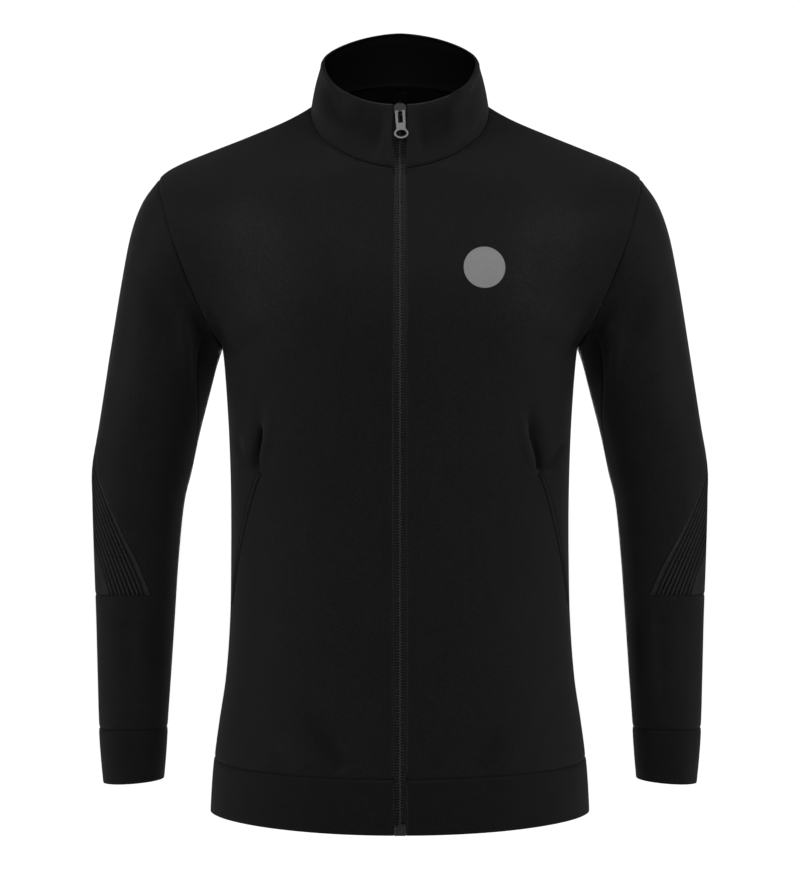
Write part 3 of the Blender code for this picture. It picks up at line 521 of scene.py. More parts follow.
def with_edges(low, high, count, starts=True, ends=True, marks=EDGE_MARKS):
    """Even steps between two values, with finer marks beside either end."""
    sign = 1 if high > low else -1
    first = [low + sign * mark for mark in marks] if starts else [low]
    final = [high - sign * mark for mark in reversed(marks)] if ends else [high]
    middle = np.linspace(first[-1], final[0], count + 1)[1:-1]
    return np.concatenate([first, middle, final])


HEM_BAND_ROWS = 14
BELLY_ROWS = 44
POCKET_ROWS = 44
CHEST_ROWS = 42
YOKE_ROWS = (50, 34)
SHOULDER_CLIMBS = (0.985, 0.991, 0.996, 1.0)
POCKET_END_STEP = 2
BACK_COLUMNS = 56


def body_levels():
    """Row levels from the hem seam to the shoulder, finest beside the seams and the pocket ends."""
    foot = POCKET_FOOT_Z
    top = POCKET_TOP_Z
    heights = [with_edges(HEM_SEAM_Z, foot - POCKET_END_STEP, BELLY_ROWS, ends=False), (foot,)]
    heights += [stepped((foot + POCKET_END_STEP, top - POCKET_END_STEP), (POCKET_ROWS,)), (top,)]
    heights += [stepped((top + POCKET_END_STEP, UNDERARM_Z), (CHEST_ROWS,))]
    climbs = stepped((0, NECK_CLIMB, SHOULDER_CLIMBS[0]), YOKE_ROWS)[1:]
    return np.concatenate([np.concatenate(heights) - UNDERARM_Z, climbs, SHOULDER_CLIMBS[1:]])


def pocket_place(level):
    """Where the pocket line crosses a front row, as a share of the row's length."""
    drop = (POCKET_TOP_Z - UNDERARM_Z - level) / (POCKET_TOP_Z - POCKET_FOOT_Z)
    drop = min(1.0, max(0.0, drop))
    return mix(POCKET_TOP_PLACE, POCKET_FOOT_PLACE, drop ** POCKET_CURVE)


FRONT_COUNTS = (8, 40, 3, 4, 3, 14)
PLACKET_MARGIN = 4
WELT_MARGIN = 3
WELT_FIRST_COLUMN = len(EDGE_MARKS) - 1 + sum(FRONT_COUNTS[:3])
WELT_LAST_COLUMN = WELT_FIRST_COLUMN + FRONT_COUNTS[3]


def front_marks(level):
    """Columns of a front row: zip edge, placket, panel, pocket line, welt and side."""
    def marks(length):
        line = pocket_place(level) * length
        near = line - WELT_WIDTH / 2
        far = line + WELT_WIDTH / 2
        stops = [EDGE_MARKS[-1], PLACKET_WIDTH + PLACKET_MARGIN, near - WELT_MARGIN, near]
        stops += [far, far + WELT_MARGIN, length - EDGE_MARKS[-1]]
        inner = stepped(stops, FRONT_COUNTS)
        return np.concatenate([EDGE_MARKS[:-1], inner, length - np.array(EDGE_MARKS[-2::-1])])
    return marks


def back_marks(length):
    return with_edges(0, length, BACK_COLUMNS, starts=False)


# ---- what lies where in the view ----
def seen(points, face):
    """Where points appear on the side seams' plane, from the front or as far behind the jacket."""
    depth = points[:, 1] if face == "front" else -points[:, 1]
    scale = VIEW_DISTANCE / (VIEW_DISTANCE + depth)
    across = points[:, 0] * scale
    up = VIEW_HEIGHT + (points[:, 2] - VIEW_HEIGHT) * scale
    return np.stack([across, up], axis=-1)


# ---- folds: paths as seen from the front or from behind, + for a ridge and - for a trough ----
# Each row holds a path, a width, a height and the shares of the path where it rises and falls.
# Each height also paints the cloth's colour: darker in a trough (painted shade), lighter on a ridge
# (painted highlight).
FRONT_FOLDS = (
    # inside of the sleeves below the underarm
    (((-203, -180), (-199, -220), (-197, -262), (-199, -304)), 12, -4.6, 0.35, 0.5),
    (((-214, -180), (-216, -214), (-213, -252), (-212, -290)), 6, 3.0, 0.4, 0.5),
    (((201, -182), (200, -222), (199, -264), (202, -306)), 12, -4.3, 0.35, 0.5),
    (((214, -182), (218, -219), (215, -256), (214, -284)), 6, 2.8, 0.4, 0.5),
    # soft pull across the upper sleeves
    (((-268, -150), (-246, -190), (-228, -236)), 13, -1.8, 0.4, 0.4),
    (((262, -158), (243, -200), (228, -240)), 12, -1.6, 0.4, 0.4),
    (((-290, -226), (-268, -262), (-252, -306)), 14, 1.5, 0.5, 0.5),
    (((286, -236), (266, -272), (254, -312)), 12, 1.4, 0.5, 0.5),
    # chest beside the armholes, and pulls from the underarms inwards
    (((-168, -58), (-150, -112), (-138, -170), (-136, -216), (-142, -262)), 32, 4.6, 0.3, 0.4),
    (((168, -60), (150, -114), (136, -172), (134, -218), (141, -264)), 32, 4.4, 0.3, 0.4),
    (((-172, -238), (-138, -217), (-98, -208)), 11, -1.3, 0.1, 0.6),
    (((172, -240), (140, -220), (104, -212)), 11, -1.2, 0.1, 0.6),
    # pulls above the pockets, deepest at the bar tacks
    (((-138, -262), (-140, -292), (-143, -322), (-147, -356)), 7, -1.8, 0.6, 0.08),
    (((-139, -308), (-140.6, -320), (-143.4, -339), (-146.3, -358)), 2.7, -6.0, 0.3, 0.1),
    (((-131, -276), (-133, -306), (-137, -332), (-141, -352)), 4.5, 3.0, 0.5, 0.2),
    (((-152, -300), (-153, -326), (-154, -346)), 5, 1.4, 0.5, 0.3),
    (((130, -276), (132.5, -308), (139, -336), (145, -356)), 7.5, -2.6, 0.5, 0.08),
    (((129.5, -294), (132.5, -319), (138.5, -338), (142.3, -358)), 2.7, -4.6, 0.4, 0.1),
    (((121, -282), (125, -312), (131, -336), (137, -353)), 4.5, 2.8, 0.5, 0.2),
    (((150, -356), (156, -340), (169, -323)), 4, -2.0, 0.1, 0.3),
    (((-166, -318), (-160, -331), (-156, -344)), 4, -1.4, 0.4, 0.4),
    # small pulls at the hem seam
    (((-102, -582), (-80, -620), (-56, -655)), 11, -2.2, 0.6, 0.05),
    (((-128, -606), (-112, -634), (-96, -654)), 8, 1.2, 0.6, 0.05),
    (((-64, -612), (-52, -634), (-44, -656)), 6, 0.8, 0.6, 0.05),
    (((104, -600), (92, -628), (76, -654)), 12, -1.5, 0.6, 0.05),
    (((126, -612), (118, -634), (108, -655)), 7, 0.8, 0.6, 0.05),
    (((20, -618), (30, -640), (36, -656)), 7, -1.0, 0.6, 0.05),
    # lower sleeves
    (((240, -494), (241, -540), (243, -588)), 5, -1.5, 0.3, 0.5),
    (((253, -486), (254, -540), (256, -600)), 5, 1.5, 0.3, 0.4),
    (((275, -484), (276, -540), (274, -604)), 7, 1.1, 0.3, 0.4),
    (((-247, -490), (-246, -540), (-243, -590)), 5, -1.3, 0.3, 0.5),
    (((-262, -484), (-262, -530), (-258, -580)), 6, 1.2, 0.3, 0.4),
    (((-296, -500), (-268, -512), (-240, -508)), 6, -1.1, 0.3, 0.4),
    (((296, -498), (270, -508), (244, -502)), 6, -1.0, 0.3, 0.4),
    # collar
    (((71, 40), (62, 14), (48, -14)), 5, 2.6, 0.2, 0.5),
    (((62, 30), (51, 6), (36, -20)), 8, -3.0, 0.2, 0.4),
    (((80, 8), (68, -14), (52, -34)), 5, 1.6, 0.3, 0.4),
    (((-76, 30), (-66, 4), (-50, -22)), 7, -2.8, 0.3, 0.4),
    (((-84, 14), (-74, -10), (-60, -32)), 7, 1.8, 0.3, 0.4),
    (((-60, 6), (-36, -10), (-15, -16)), 19, -4.2, 0.4, 0.2),
    (((15, -16), (36, -10), (60, 6)), 19, -4.2, 0.2, 0.4),
)
BACK_FOLDS = (
    (((-204, -184), (-200, -224), (-198, -270)), 9, -6.0, 0.25, 0.6),
    (((202, -182), (199, -226), (199, -274)), 9, -6.2, 0.25, 0.6),
    (((-168, -232), (-136, -262), (-112, -318)), 14, -2.4, 0.1, 0.6),
    (((170, -236), (140, -272), (122, -330)), 14, -2.3, 0.1, 0.6),
    (((-150, -226), (-112, -246), (-78, -286)), 12, 1.6, 0.3, 0.6),
    (((154, -230), (120, -254), (90, -298)), 12, 1.6, 0.3, 0.6),
    (((-128, -432), (-52, -452), (34, -440)), 15, -2.2, 0.4, 0.5),
    (((132, -462), (58, -482), (-36, -470)), 13, -1.9, 0.4, 0.5),
    (((-110, -520), (-84, -580), (-70, -652)), 14, -1.7, 0.5, 0.1),
    (((76, -540), (92, -596), (98, -654)), 13, -1.6, 0.5, 0.1),
    (((-12, -590), (-4, -624), (6, -656)), 10, 1.2, 0.6, 0.1),
    (((-292, -332), (-266, -344), (-238, -338)), 8, -2.2, 0.3, 0.4),
    (((292, -344), (264, -356), (238, -348)), 8, -2.1, 0.3, 0.4),
    (((-248, -500), (-250, -548), (-254, -596)), 7, -1.4, 0.3, 0.4),
    (((250, -496), (252, -550), (256, -600)), 7, -1.4, 0.3, 0.4),
)
Fold = namedtuple("Fold", "face path width height rise fall")
FOLDS = [Fold("front", *row) for row in FRONT_FOLDS] + [Fold("back", *row) for row in BACK_FOLDS]
FOLD_SAMPLES = 20
FOLD_REACH = 3
FACING_MARGIN = 0.1
FACING_SPAN = 0.45
SLEEVE_FOLD_X = 190
SLEEVE_NAMES = ("sleeve", "cuff", "elbow")
BROAD_SWAY = 0.22
NARROW_SWAY = 0.1


def fold_height(points, normals, fold):
    """Height of one fold at each point, fading out towards its ends and round the sides."""
    towards = -normals[:, 1] if fold.face == "front" else normals[:, 1]
    facing = smooth((towards + FACING_MARGIN) / FACING_SPAN)
    places = seen(points, fold.face)
    path = path_through(fold.path, FOLD_SAMPLES)
    low = path.min(axis=0) - FOLD_REACH * fold.width
    high = path.max(axis=0) + FOLD_REACH * fold.width
    near = ((places > low) & (places < high)).all(axis=1) & (facing > 0)
    height = np.zeros(len(points))
    if not near.any():
        return height
    starts = path[:-1]
    steps = path[1:] - starts
    offset = places[near][:, None, :] - starts
    along = np.clip((offset * steps).sum(axis=2) / (steps ** 2).sum(axis=1), 0, 1)
    distance = lengths_of(offset - along[..., None] * steps)
    nearest = distance.argmin(axis=1)
    rows = np.arange(len(nearest))
    progress = (nearest + along[rows, nearest]) / len(starts)
    fade = smooth(progress / fold.rise) * smooth((1 - progress) / fold.fall)
    height[near] = fold.height * bell(distance[rows, nearest], fold.width) * fade
    return height * facing


def sway(points):
    """Slight unevenness of cloth on a large smooth form; its lengths and phases are chosen freely."""
    x, y, z = points.T
    broad = np.sin(x / 47 + 1.3) * np.sin(z / 61 + 0.4) + 0.7 * np.sin(x / 31 - z / 83 + 2.1)
    narrow = np.sin(x / 19 + y / 23 + 0.6) * np.sin(z / 27 + 1.9)
    return BROAD_SWAY * broad + NARROW_SWAY * narrow


def fold_relief(points, normals, on_sleeve):
    """Height of the cloth's unevenness; the folds of the sleeves stay off the other pieces."""
    total = sway(points)
    for fold in FOLDS:
        if on_sleeve or abs(fold.path[0][0]) < SLEEVE_FOLD_X:
            total = total + fold_height(points, normals, fold)
    return total


def offsets_from(points, line):
    """Distance of each point, on either side of the jacket, from each point of a left-hand line."""
    return lengths_of(np.abs(points[:, None, :] * (1, 0, 0)) + points[:, None, :] * (0, 1, 1) - line)


def off_armholes(points):
    """Zero on the armhole seams and one away from them, so that both sides of a seam meet."""
    line = filled(sleeve_points(0, np.linspace(-180, 180, ARMHOLE_SAMPLES)))
    return 1 - bell(offsets_from(points, line).min(axis=1), ARMHOLE_MARGIN)


def filled(points):
    """Points with the steep valleys between the sleeves and the body made shallower."""
    points = points.copy()
    shares = np.linspace(0, 1, PIT_SAMPLES)
    depth = PIT_FILL * np.sin(math.pi * shares) ** PIT_POWER
    for way in (1, -1):
        line = sleeve_points(0, way * mix(*PIT_ANGLES, shares))
        offset = offsets_from(points, line)
        points[:, 1] -= way * (depth * bell(offset, PIT_WIDTH)).max(axis=1)
    return points


# ---- sheets of cloth ----
def quad_areas(points, quads):
    a, b, c, d = (points[quads[:, k]] for k in range(4))
    return np.cross(c - a, d - b) / 2


def facing_out(part, centre):
    """The same part with its quads turned away from a vertical line through the centre."""
    points, quads, cut, lift = part
    areas = quad_areas(points, quads)
    outward = points[quads].mean(axis=1)[:, :2] - centre
    if (areas[:, :2] * outward).sum() < 0:
        quads = quads[:, ::-1]
    return points, quads, cut, lift


class Sheet:
    """One piece of cloth as welded corners, quads and places in its flat cut, in millimetres."""

    def __init__(self, name, parts, thickness, centre=(0, 0), relief=True):
        self.name = name
        self.thickness = thickness
        parts = [facing_out(part, centre) for part in parts]
        loose = np.concatenate([part[0] for part in parts])
        self.cut = np.concatenate([part[2] for part in parts])
        lift = np.concatenate([part[3] for part in parts])
        starts = np.cumsum([0] + [len(part[0]) for part in parts])
        self.corner_quads = np.concatenate([part[1] + start for part, start in zip(parts, starts)])
        used, compact = np.unique(self.corner_quads, return_inverse=True)
        keys = np.round(loose[used] / WELD + WELD_SHIFT).astype(np.int64)
        _, first, place = np.unique(keys, axis=0, return_index=True, return_inverse=True)
        self.points = filled(loose[used][first])
        self.lift = lift[used][first]
        self.quads = place.reshape(-1)[compact.reshape(-1)].reshape(-1, 4)
        self.drop_thin_quads()
        self.find_normals()
        self.find_border()
        # folds also sets the painted shading in the colour; only the cloth's own height fades at the
        # armholes
        self.folds = np.zeros(len(self.points))
        if relief:
            self.folds = fold_relief(self.points, self.normals, name.startswith(SLEEVE_NAMES))
        self.relief = self.folds * off_armholes(self.points)
        # tip marks quads whose outside takes the darker inside material, a painted shade
        self.tip = np.zeros(len(self.quads), bool)
        self.sewn = self.border[:0]
        self.seam_distance = np.full(len(self.points), FAR_FROM_SEAM)

    def drop_thin_quads(self):
        """Leaves out quads that have lost two sides to welding."""
        a, b, c, d = self.quads.T
        flat = ((a == b) & (c == d)) | ((b == c) & (d == a)) | (a == c) | (b == d)
        self.quads = self.quads[~flat]
        self.corner_quads = self.corner_quads[~flat]

    def find_normals(self):
        areas = quad_areas(self.points, self.quads)
        normals = np.zeros_like(self.points)
        for k in range(4):
            np.add.at(normals, self.quads[:, k], areas)
        self.normals = unit(normals)

    def find_border(self):
        """Edges of one quad only, in the quad's direction."""
        ends = np.concatenate([self.quads, np.roll(self.quads, -1, axis=1)]).reshape(2, -1).T
        ends = ends[ends[:, 0] != ends[:, 1]]
        count = len(self.points)
        forward = ends[:, 0] * count + ends[:, 1]
        backward = ends[:, 1] * count + ends[:, 0]
        self.border = ends[~np.isin(forward, backward)]


def grid_part(grid, keep=None, lift=0.0):
    """A grid of points as loose corners, quads, places in the cut and heights.

    keep tells which quads are used. lift is one height, or one for each row or each column.
    """
    rows, columns = grid.shape[:2]
    index = np.arange(rows * columns).reshape(rows, columns)
    quads = np.stack([index[:-1, :-1], index[:-1, 1:], index[1:, 1:], index[1:, :-1]], axis=-1)
    quads = quads.reshape(-1, 4) if keep is None else quads[keep]
    cut = np.zeros((rows, columns, 2))
    cut[:, 1:, 0] = lengths_of(np.diff(grid, axis=1)).cumsum(axis=1)
    cut[1:, :, 1] = lengths_of(np.diff(grid, axis=0)).mean(axis=1).cumsum()[:, None]
    heights = np.broadcast_to(lift, (rows, columns)).reshape(-1)
    return grid.reshape(-1, 3), quads, cut.reshape(-1, 2), heights


def both_halves(grid, lift=0.0):
    return [grid_part(half, lift=lift) for half in on_both_sides(grid)]


# ---- cloth pieces ----
def soften_centre(grid):
    """Rounds off the kink that the back's climbing rows would leave on the centre line."""
    centre = grid[:, 0, 0] < WELD
    start = grid[centre, 0]
    step = grid[centre, 1] - start
    fall = np.gradient(start[:, 1]) / np.gradient(start[:, 2])
    kink = (step[:, 1] - fall * step[:, 2]) / step[:, 0]
    order = np.argsort(start[:, 2])
    turn = np.interp(grid[..., 2], start[order, 2], kink[order])
    inner = np.maximum(CENTRE_WIDTH - grid[..., 0], 0)
    fade = smooth((start[-1, 2] - grid[..., 2]) / CENTRE_FADE)
    grid[..., 1] += turn * inner ** 2 / (2 * CENTRE_WIDTH) * fade


def body_grid(face, levels, marks):
    """Rows of the body, eased where level rows turn into climbing ones and where the neck begins."""
    grid = np.array([row_points(face, level, marks(level)) for level in levels])
    rows = np.arange(len(levels))
    from_centre = np.concatenate([np.zeros((len(levels), 1)), lengths_of(np.diff(grid, axis=1))], axis=1)
    from_centre = from_centre.cumsum(axis=1)
    to_side = from_centre[:, -1:] - from_centre
    underarm = bell(rows - (levels <= 0).sum() + 1, EASE_ROWS)[:, None]
    neck = bell(rows - (levels <= NECK_CLIMB).sum() + 1, NECK_EASE_ROWS)[:, None]
    weight = np.maximum(underarm, neck * smooth(from_centre / NECK_EASE_MARGIN))
    weight = weight * smooth(to_side / EASE_MARGIN)
    for _ in range(EASE_PASSES):
        middle = (grid[:-2] + grid[2:]) / 2
        grid[1:-1] += (middle - grid[1:-1]) * weight[1:-1, :, None] / 2
    if face == "back":
        soften_centre(grid)
    return grid


def front_sheets():
    """The fronts and the pocket welts that fill a slot in them."""
    levels = body_levels()
    grid = body_grid("front", levels, front_marks)
    heights = levels + UNDERARM_Z
    rows = (heights[:-1] >= POCKET_FOOT_Z) & (heights[1:] <= POCKET_TOP_Z)
    columns = np.zeros(grid.shape[1] - 1, bool)
    columns[WELT_FIRST_COLUMN:WELT_LAST_COLUMN] = True
    welt = rows[:, None] & columns[None, :]
    sheets = []
    for name, side in SIDES:
        own = mirrored(grid, side)
        sheets.append(Sheet("front_" + name, [grid_part(own, ~welt)], CLOTH))
        sheets.append(Sheet("pocket_welt_" + name, [grid_part(own, welt, WELT_LIFT)], CLOTH))
    return sheets


def back_sheet():
    grid = body_grid("back", body_levels(), lambda level: back_marks)
    return Sheet("back", both_halves(grid), CLOTH)


def band_puff(count):
    """Heights of the rows of a doubled band, which is fullest midway."""
    share = np.linspace(0, 1, count)[:, None]
    return BAND_PUFF * np.sin(math.pi * share) ** BAND_PUFF_POWER


def hem_sheet():
    levels = with_edges(HEM_EDGE_Z, HEM_SEAM_Z, HEM_BAND_ROWS) - UNDERARM_Z
    front = np.array([row_points("front", level, front_marks(level)) for level in levels])
    back = np.array([row_points("back", level, back_marks) for level in levels])
    puff = band_puff(len(levels))
    return Sheet("hem_band", both_halves(front, puff) + both_halves(back, puff), DOUBLED_CLOTH)


COLLAR_TALL = 60
COLLAR_MIDDLE_HEIGHTS = stepped((0.1, 0.9), (16,))
COLLAR_TOP_HEIGHTS = (0.93, 0.96, 0.985, 1)
COLLAR_FRONT_SHARES = np.concatenate([(0, 0.006, 0.014, 0.024), stepped((0.04, 1), (44,))])
COLLAR_BACK_ANGLES = np.linspace(90, 180, 37)[1:]
COLLAR_ROLL = 0.9
COLLAR_ROLL_DROP = 4.5
COLLAR_ROLL_WIDTH = 3.5
COLLAR_PUFF = 0.5


def collar_grid():
    """The collar's left half, from the zip edge to the centre of the back."""
    seam_heights = np.array(EDGE_MARKS) / COLLAR_TALL
    heights = np.concatenate([seam_heights, COLLAR_MIDDLE_HEIGHTS, COLLAR_TOP_HEIGHTS])
    rows = []
    for height in heights:
        start = mix(NECK_START, COLLAR_TOP_START, height)
        shift = (start - NECK_START) * (1 - COLLAR_FRONT_SHARES)
        front_angles = mix(NECK_START, 90, COLLAR_FRONT_SHARES) + shift
        rows.append(collar_points(np.concatenate([front_angles, COLLAR_BACK_ANGLES]), height))
    return heights, np.array(rows)


def collar_sheet():
    """The collar, a little fuller midway and in the roll below its top edge."""
    heights, grid = collar_grid()
    roll = COLLAR_ROLL * bell((1 - heights) * COLLAR_TALL - COLLAR_ROLL_DROP, COLLAR_ROLL_WIDTH)
    roll = roll + COLLAR_PUFF * np.sin(math.pi * heights)
    return Sheet("collar", both_halves(grid, roll[:, None]), DOUBLED_CLOTH)


def elbow_angle(ring, name):
    """Half the angle that the elbow panel spans on a ring."""
    apex = ELBOW_APEX_Z[name]
    share = min(1.0, max(0.0, (apex - sleeve_value("outer_z", ring)) / (apex - ELBOW_BASE_Z)))
    return ELBOW_HALF_ANGLE * share ** ELBOW_ARCH


def edge_shares(count, starts=True):
    """Shares from 0 to 1 with finer steps beside either end."""
    return with_edges(0, 1, count, starts, marks=EDGE_SHARES)


BACK_SHARES = edge_shares(48)
FRONT_SHARES = edge_shares(36)
PANEL_SHARES = edge_shares(40)
ARMHOLE_RINGS = (0, 0.03, 0.07, 0.13)
UPPER_START = 0.2
UPPER_ROWS = 72
ELBOW_ROWS = 44
LOWER_ROWS = 40
CUFF_ROWS = 14
CUFF_COLUMNS = 96
PANEL_EDGE_MARKS = EDGE_MARKS[:-1] + (3.1,)
BEYOND_GROOVE_COUNTS = (6, 6)
APEX_BETWEEN_RINGS = (5, 9)
BASE_BETWEEN_RINGS = (8, 11)


def elbow_rings(name):
    """Rings of an elbow panel's apex and of its base seam."""
    return ring_at(ELBOW_APEX_Z[name], *APEX_BETWEEN_RINGS), ring_at(ELBOW_BASE_Z, *BASE_BETWEEN_RINGS)


def sleeve_sheet(name, side):
    """Main sleeve from the armhole to the cuff seam, with a cut-out for the elbow panel."""
    apex, base = elbow_rings(name)

    def back_angles(ring):
        return mix(sleeve_value("seam", ring) - 360, -elbow_angle(ring, name), BACK_SHARES)

    def front_angles(ring):
        return mix(elbow_angle(ring, name), sleeve_value("seam", ring), FRONT_SHARES)

    upper = []
    for ring in np.concatenate([ARMHOLE_RINGS, stepped((UPPER_START, apex), (UPPER_ROWS,))]):
        upper.append(sleeve_points(ring, np.concatenate([back_angles(ring), front_angles(ring)[1:]])))
    beside_panel = mix(apex, base, edge_shares(ELBOW_ROWS, starts=False))
    back_strip = [sleeve_points(ring, back_angles(ring)) for ring in beside_panel]
    front_strip = [sleeve_points(ring, front_angles(ring)) for ring in beside_panel]
    panel_angles = mix(-elbow_angle(base, name), elbow_angle(base, name), PANEL_SHARES)
    base_angles = np.concatenate([back_angles(base), panel_angles[1:], front_angles(base)[1:]])
    even_angles = np.linspace(-180, 180, len(base_angles))
    lower = []
    for ring in mix(base, CUFF_SEAM, edge_shares(LOWER_ROWS)):
        relax = smooth((ring - base) / (CUFF_SEAM - base))
        lower.append(sleeve_points(ring, mix(base_angles, even_angles, relax)))
    grids = [np.array(rows) for rows in (upper, back_strip, front_strip, lower)]
    parts = [grid_part(mirrored(grid, side)) for grid in grids]
    return Sheet("sleeve_" + name, parts, CLOTH, (side * SLEEVE_CENTRE, 0))


def cuff_sheet(name, side):
    rings = mix(CUFF_SEAM, CUFF_EDGE, edge_shares(CUFF_ROWS))
    angles = np.linspace(-180, 180, CUFF_COLUMNS + 1)
    grid = np.array([sleeve_points(ring, angles) for ring in rings])
    part = grid_part(mirrored(grid, side), lift=band_puff(len(rings)))
    return Sheet("cuff_" + name, [part], DOUBLED_CLOTH, (side * SLEEVE_CENTRE, 0))


def groove_number(distance):
    """How many grooves lie before a distance; their pitch spreads away from the seam."""
    offset = distance - GROOVE_START
    spread = np.sqrt(GROOVE_PITCH ** 2 + 4 * GROOVE_SPREAD * np.maximum(offset, 0))
    inside = (spread - GROOVE_PITCH) / (2 * GROOVE_SPREAD)
    return np.where(offset < 0, offset / GROOVE_PITCH, inside)


def groove_height(distance):
    """Height of the pressed grooves, 0 between them, at a distance from the panel's seam."""
    inside = groove_number(distance)
    ribbed = smooth(inside + 1) * smooth(GROOVE_COUNT + 1 - inside)
    valley = (0.5 + 0.5 * np.cos(math.tau * inside)) ** GROOVE_SHARPNESS
    return -GROOVE_DEPTH * valley * ribbed


def elbow_half(name, sign):
    """Lines beside the panel's seam, each from the sleeve's outer line down to the base seam."""
    apex, base = elbow_rings(name)

    def line_angle(ring, distance):
        """Angle of one line, part way between even round the sleeve and even from the front."""
        share = (WEDGE_TOP_Z - sleeve_value("outer_z", ring)) / (WEDGE_TOP_Z - ELBOW_BASE_Z)
        wedge = WEDGE_WIDTH * max(0.0, share) * smooth((distance - WEDGE_START) / WEDGE_FADE)
        offset = distance + wedge
        seam = elbow_angle(ring, name)
        half_width = abs(np.diff(sleeve_points(ring, np.array((0, 180)))[:, 0])[0]) / 2
        cosine = min(1.0, math.cos(math.radians(seam)) + offset / half_width)
        return mix(seam - offset / girth(ring), math.degrees(math.acos(cosine)), GROOVE_FRONT_SHARE)

    widest = elbow_angle(base, name) * girth(base) - WEDGE_WIDTH
    numbers = np.arange(GROOVE_STEPS * GROOVE_COUNT + 1) / GROOVE_STEPS
    fine = GROOVE_START + GROOVE_PITCH * numbers + GROOVE_SPREAD * numbers ** 2
    beyond = stepped((fine[-1], fine[-1] + GROOVE_PITCH, widest), BEYOND_GROOVE_COUNTS)[1:]
    distances = np.concatenate([PANEL_EDGE_MARKS, fine, beyond])
    distances = distances[distances <= widest]
    rows = []
    for distance in distances:
        inner = distance < widest
        start = solve(lambda ring: line_angle(ring, distance), apex, base) if inner else base
        row = []
        for ring in mix(start, base, PANEL_SHARES):
            row.append(sleeve_points(ring, sign * max(0.0, line_angle(ring, distance)))[0])
        rows.append(row)
    return np.array(rows), distances


def elbow_sheet(name, side):
    parts = []
    for sign in (1, -1):
        grid, distances = elbow_half(name, sign)
        part = grid_part(mirrored(grid, side), lift=groove_height(distances)[:, None])
        part[2][:, 1] = np.repeat(GROOVE_START + GROOVE_PITCH * groove_number(distances), grid.shape[1])
        parts.append(part)
    return Sheet("elbow_panel_" + name, parts, CLOTH, (side * SLEEVE_CENTRE, 0))


def pocket_bag_sheet(name, side):
    """A flat bag behind the front, from near the side seam towards the centre."""
    places = np.linspace(*BAG_PLACES, BAG_COLUMNS)
    levels = stepped((BAG_FOOT_Z, BAG_TOP_Z), (BAG_ROWS,)) - UNDERARM_Z
    rows = [row_points("front", level, lambda length: places * length) for level in levels]
    grid = mirrored(np.array(rows), side)
    sheet = Sheet("pocket_bag_" + name, [grid_part(grid)], BAG_CLOTH)
    sheet.relief = sheet.relief - BAG_DEPTH
    return sheet


# ---- seams ----
def tree_of(points):
    tree = KDTree(len(points))
    for i, point in enumerate(points):
        tree.insert(point, i)
    tree.balance()
    return tree


def distances_to(tree, points):
    return np.array([tree.find(point)[2] for point in points])


def dense(starts, ends, step):
    """Points along edges, no further apart than a step."""
    found = [starts]
    longest = lengths_of(ends - starts).max()
    for share in np.linspace(0, 1, int(longest / step) + 2)[1:-1]:
        found.append(mix(starts, ends, share))
    return np.concatenate(found)


def sleeve_seam_points(side):
    rings = np.linspace(0, CUFF_SEAM, SLEEVE_SEAM_SAMPLES)
    line = np.array([sleeve_points(ring, sleeve_value("seam", ring))[0] for ring in rings])
    return mirrored(filled(line), side)


def mark_seams(sheets):
    """Finds which border edges of each sheet meet another sheet, and how near each corner is."""
    borders = [dense(*sheet.points[sheet.border.T], BORDER_STEP) for sheet in sheets]
    for i, sheet in enumerate(sheets):
        others = tree_of(np.concatenate(borders[:i] + borders[i + 1:]))
        middles = sheet.points[sheet.border].mean(axis=1)
        sheet.sewn = sheet.border[distances_to(others, middles) < SEAM_REACH]
        lines = [dense(*sheet.points[sheet.sewn.T], SEAM_STEP)]
        for name, side in SIDES:
            if sheet.name == "sleeve_" + name:
                lines.append(sleeve_seam_points(side))
        sheet.seam_distance = distances_to(tree_of(np.concatenate(lines)), sheet.points)


# ---- objects ----
def new_object(name, data):
    """A new object in the scene's own collection."""
    made = bpy.data.objects.new(name, data)
    bpy.context.scene.collection.objects.link(made)
    return made


def add_mesh(name, points, faces, materials, face_materials=None, cut=None, crease=None):
    """A smooth mesh object in metres that rides on the jacket.

    cut holds a place for each face corner, and crease the painted shade of each point: up to
    1 in a seam's ditch or a fold's trough, below 0 on a fold's ridge for a painted highlight.
    """
    mesh = bpy.data.meshes.new(name)
    mesh.from_pydata((np.asarray(points) * MM).tolist(), [], faces)
    for material in materials:
        mesh.materials.append(material)
    if face_materials is not None:
        mesh.polygons.foreach_set("material_index", face_materials)
    if cut is not None:
        layer = mesh.uv_layers.new(name="cut")
        layer.data.foreach_set("uv", (cut * MM).astype(np.float32).reshape(-1))
    if crease is not None:
        mesh.attributes.new("crease", "FLOAT", "POINT").data.foreach_set("value", crease)
    mesh.polygons.foreach_set("use_smooth", [True] * len(mesh.polygons))
    mesh.update()
    made = new_object(name, mesh)
    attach(made, "jacket")
    return made


def without_repeats(quad):
    return [corner for k, corner in enumerate(quad) if corner != quad[k - 1]]


def border_directions(sheet):
    """For each border corner: its direction away from the sheet, and whether it is sewn."""
    steps = unit(sheet.points[sheet.border[:, 1]] - sheet.points[sheet.border[:, 0]])
    outward = np.zeros_like(sheet.points)
    for k in (0, 1):
        corners = sheet.border[:, k]
        np.add.at(outward, corners, np.cross(steps, sheet.normals[corners]))
    corners = np.unique(sheet.border)
    sewn = np.isin(corners, np.unique(sheet.sewn))
    return corners, unit(outward[corners]), sewn


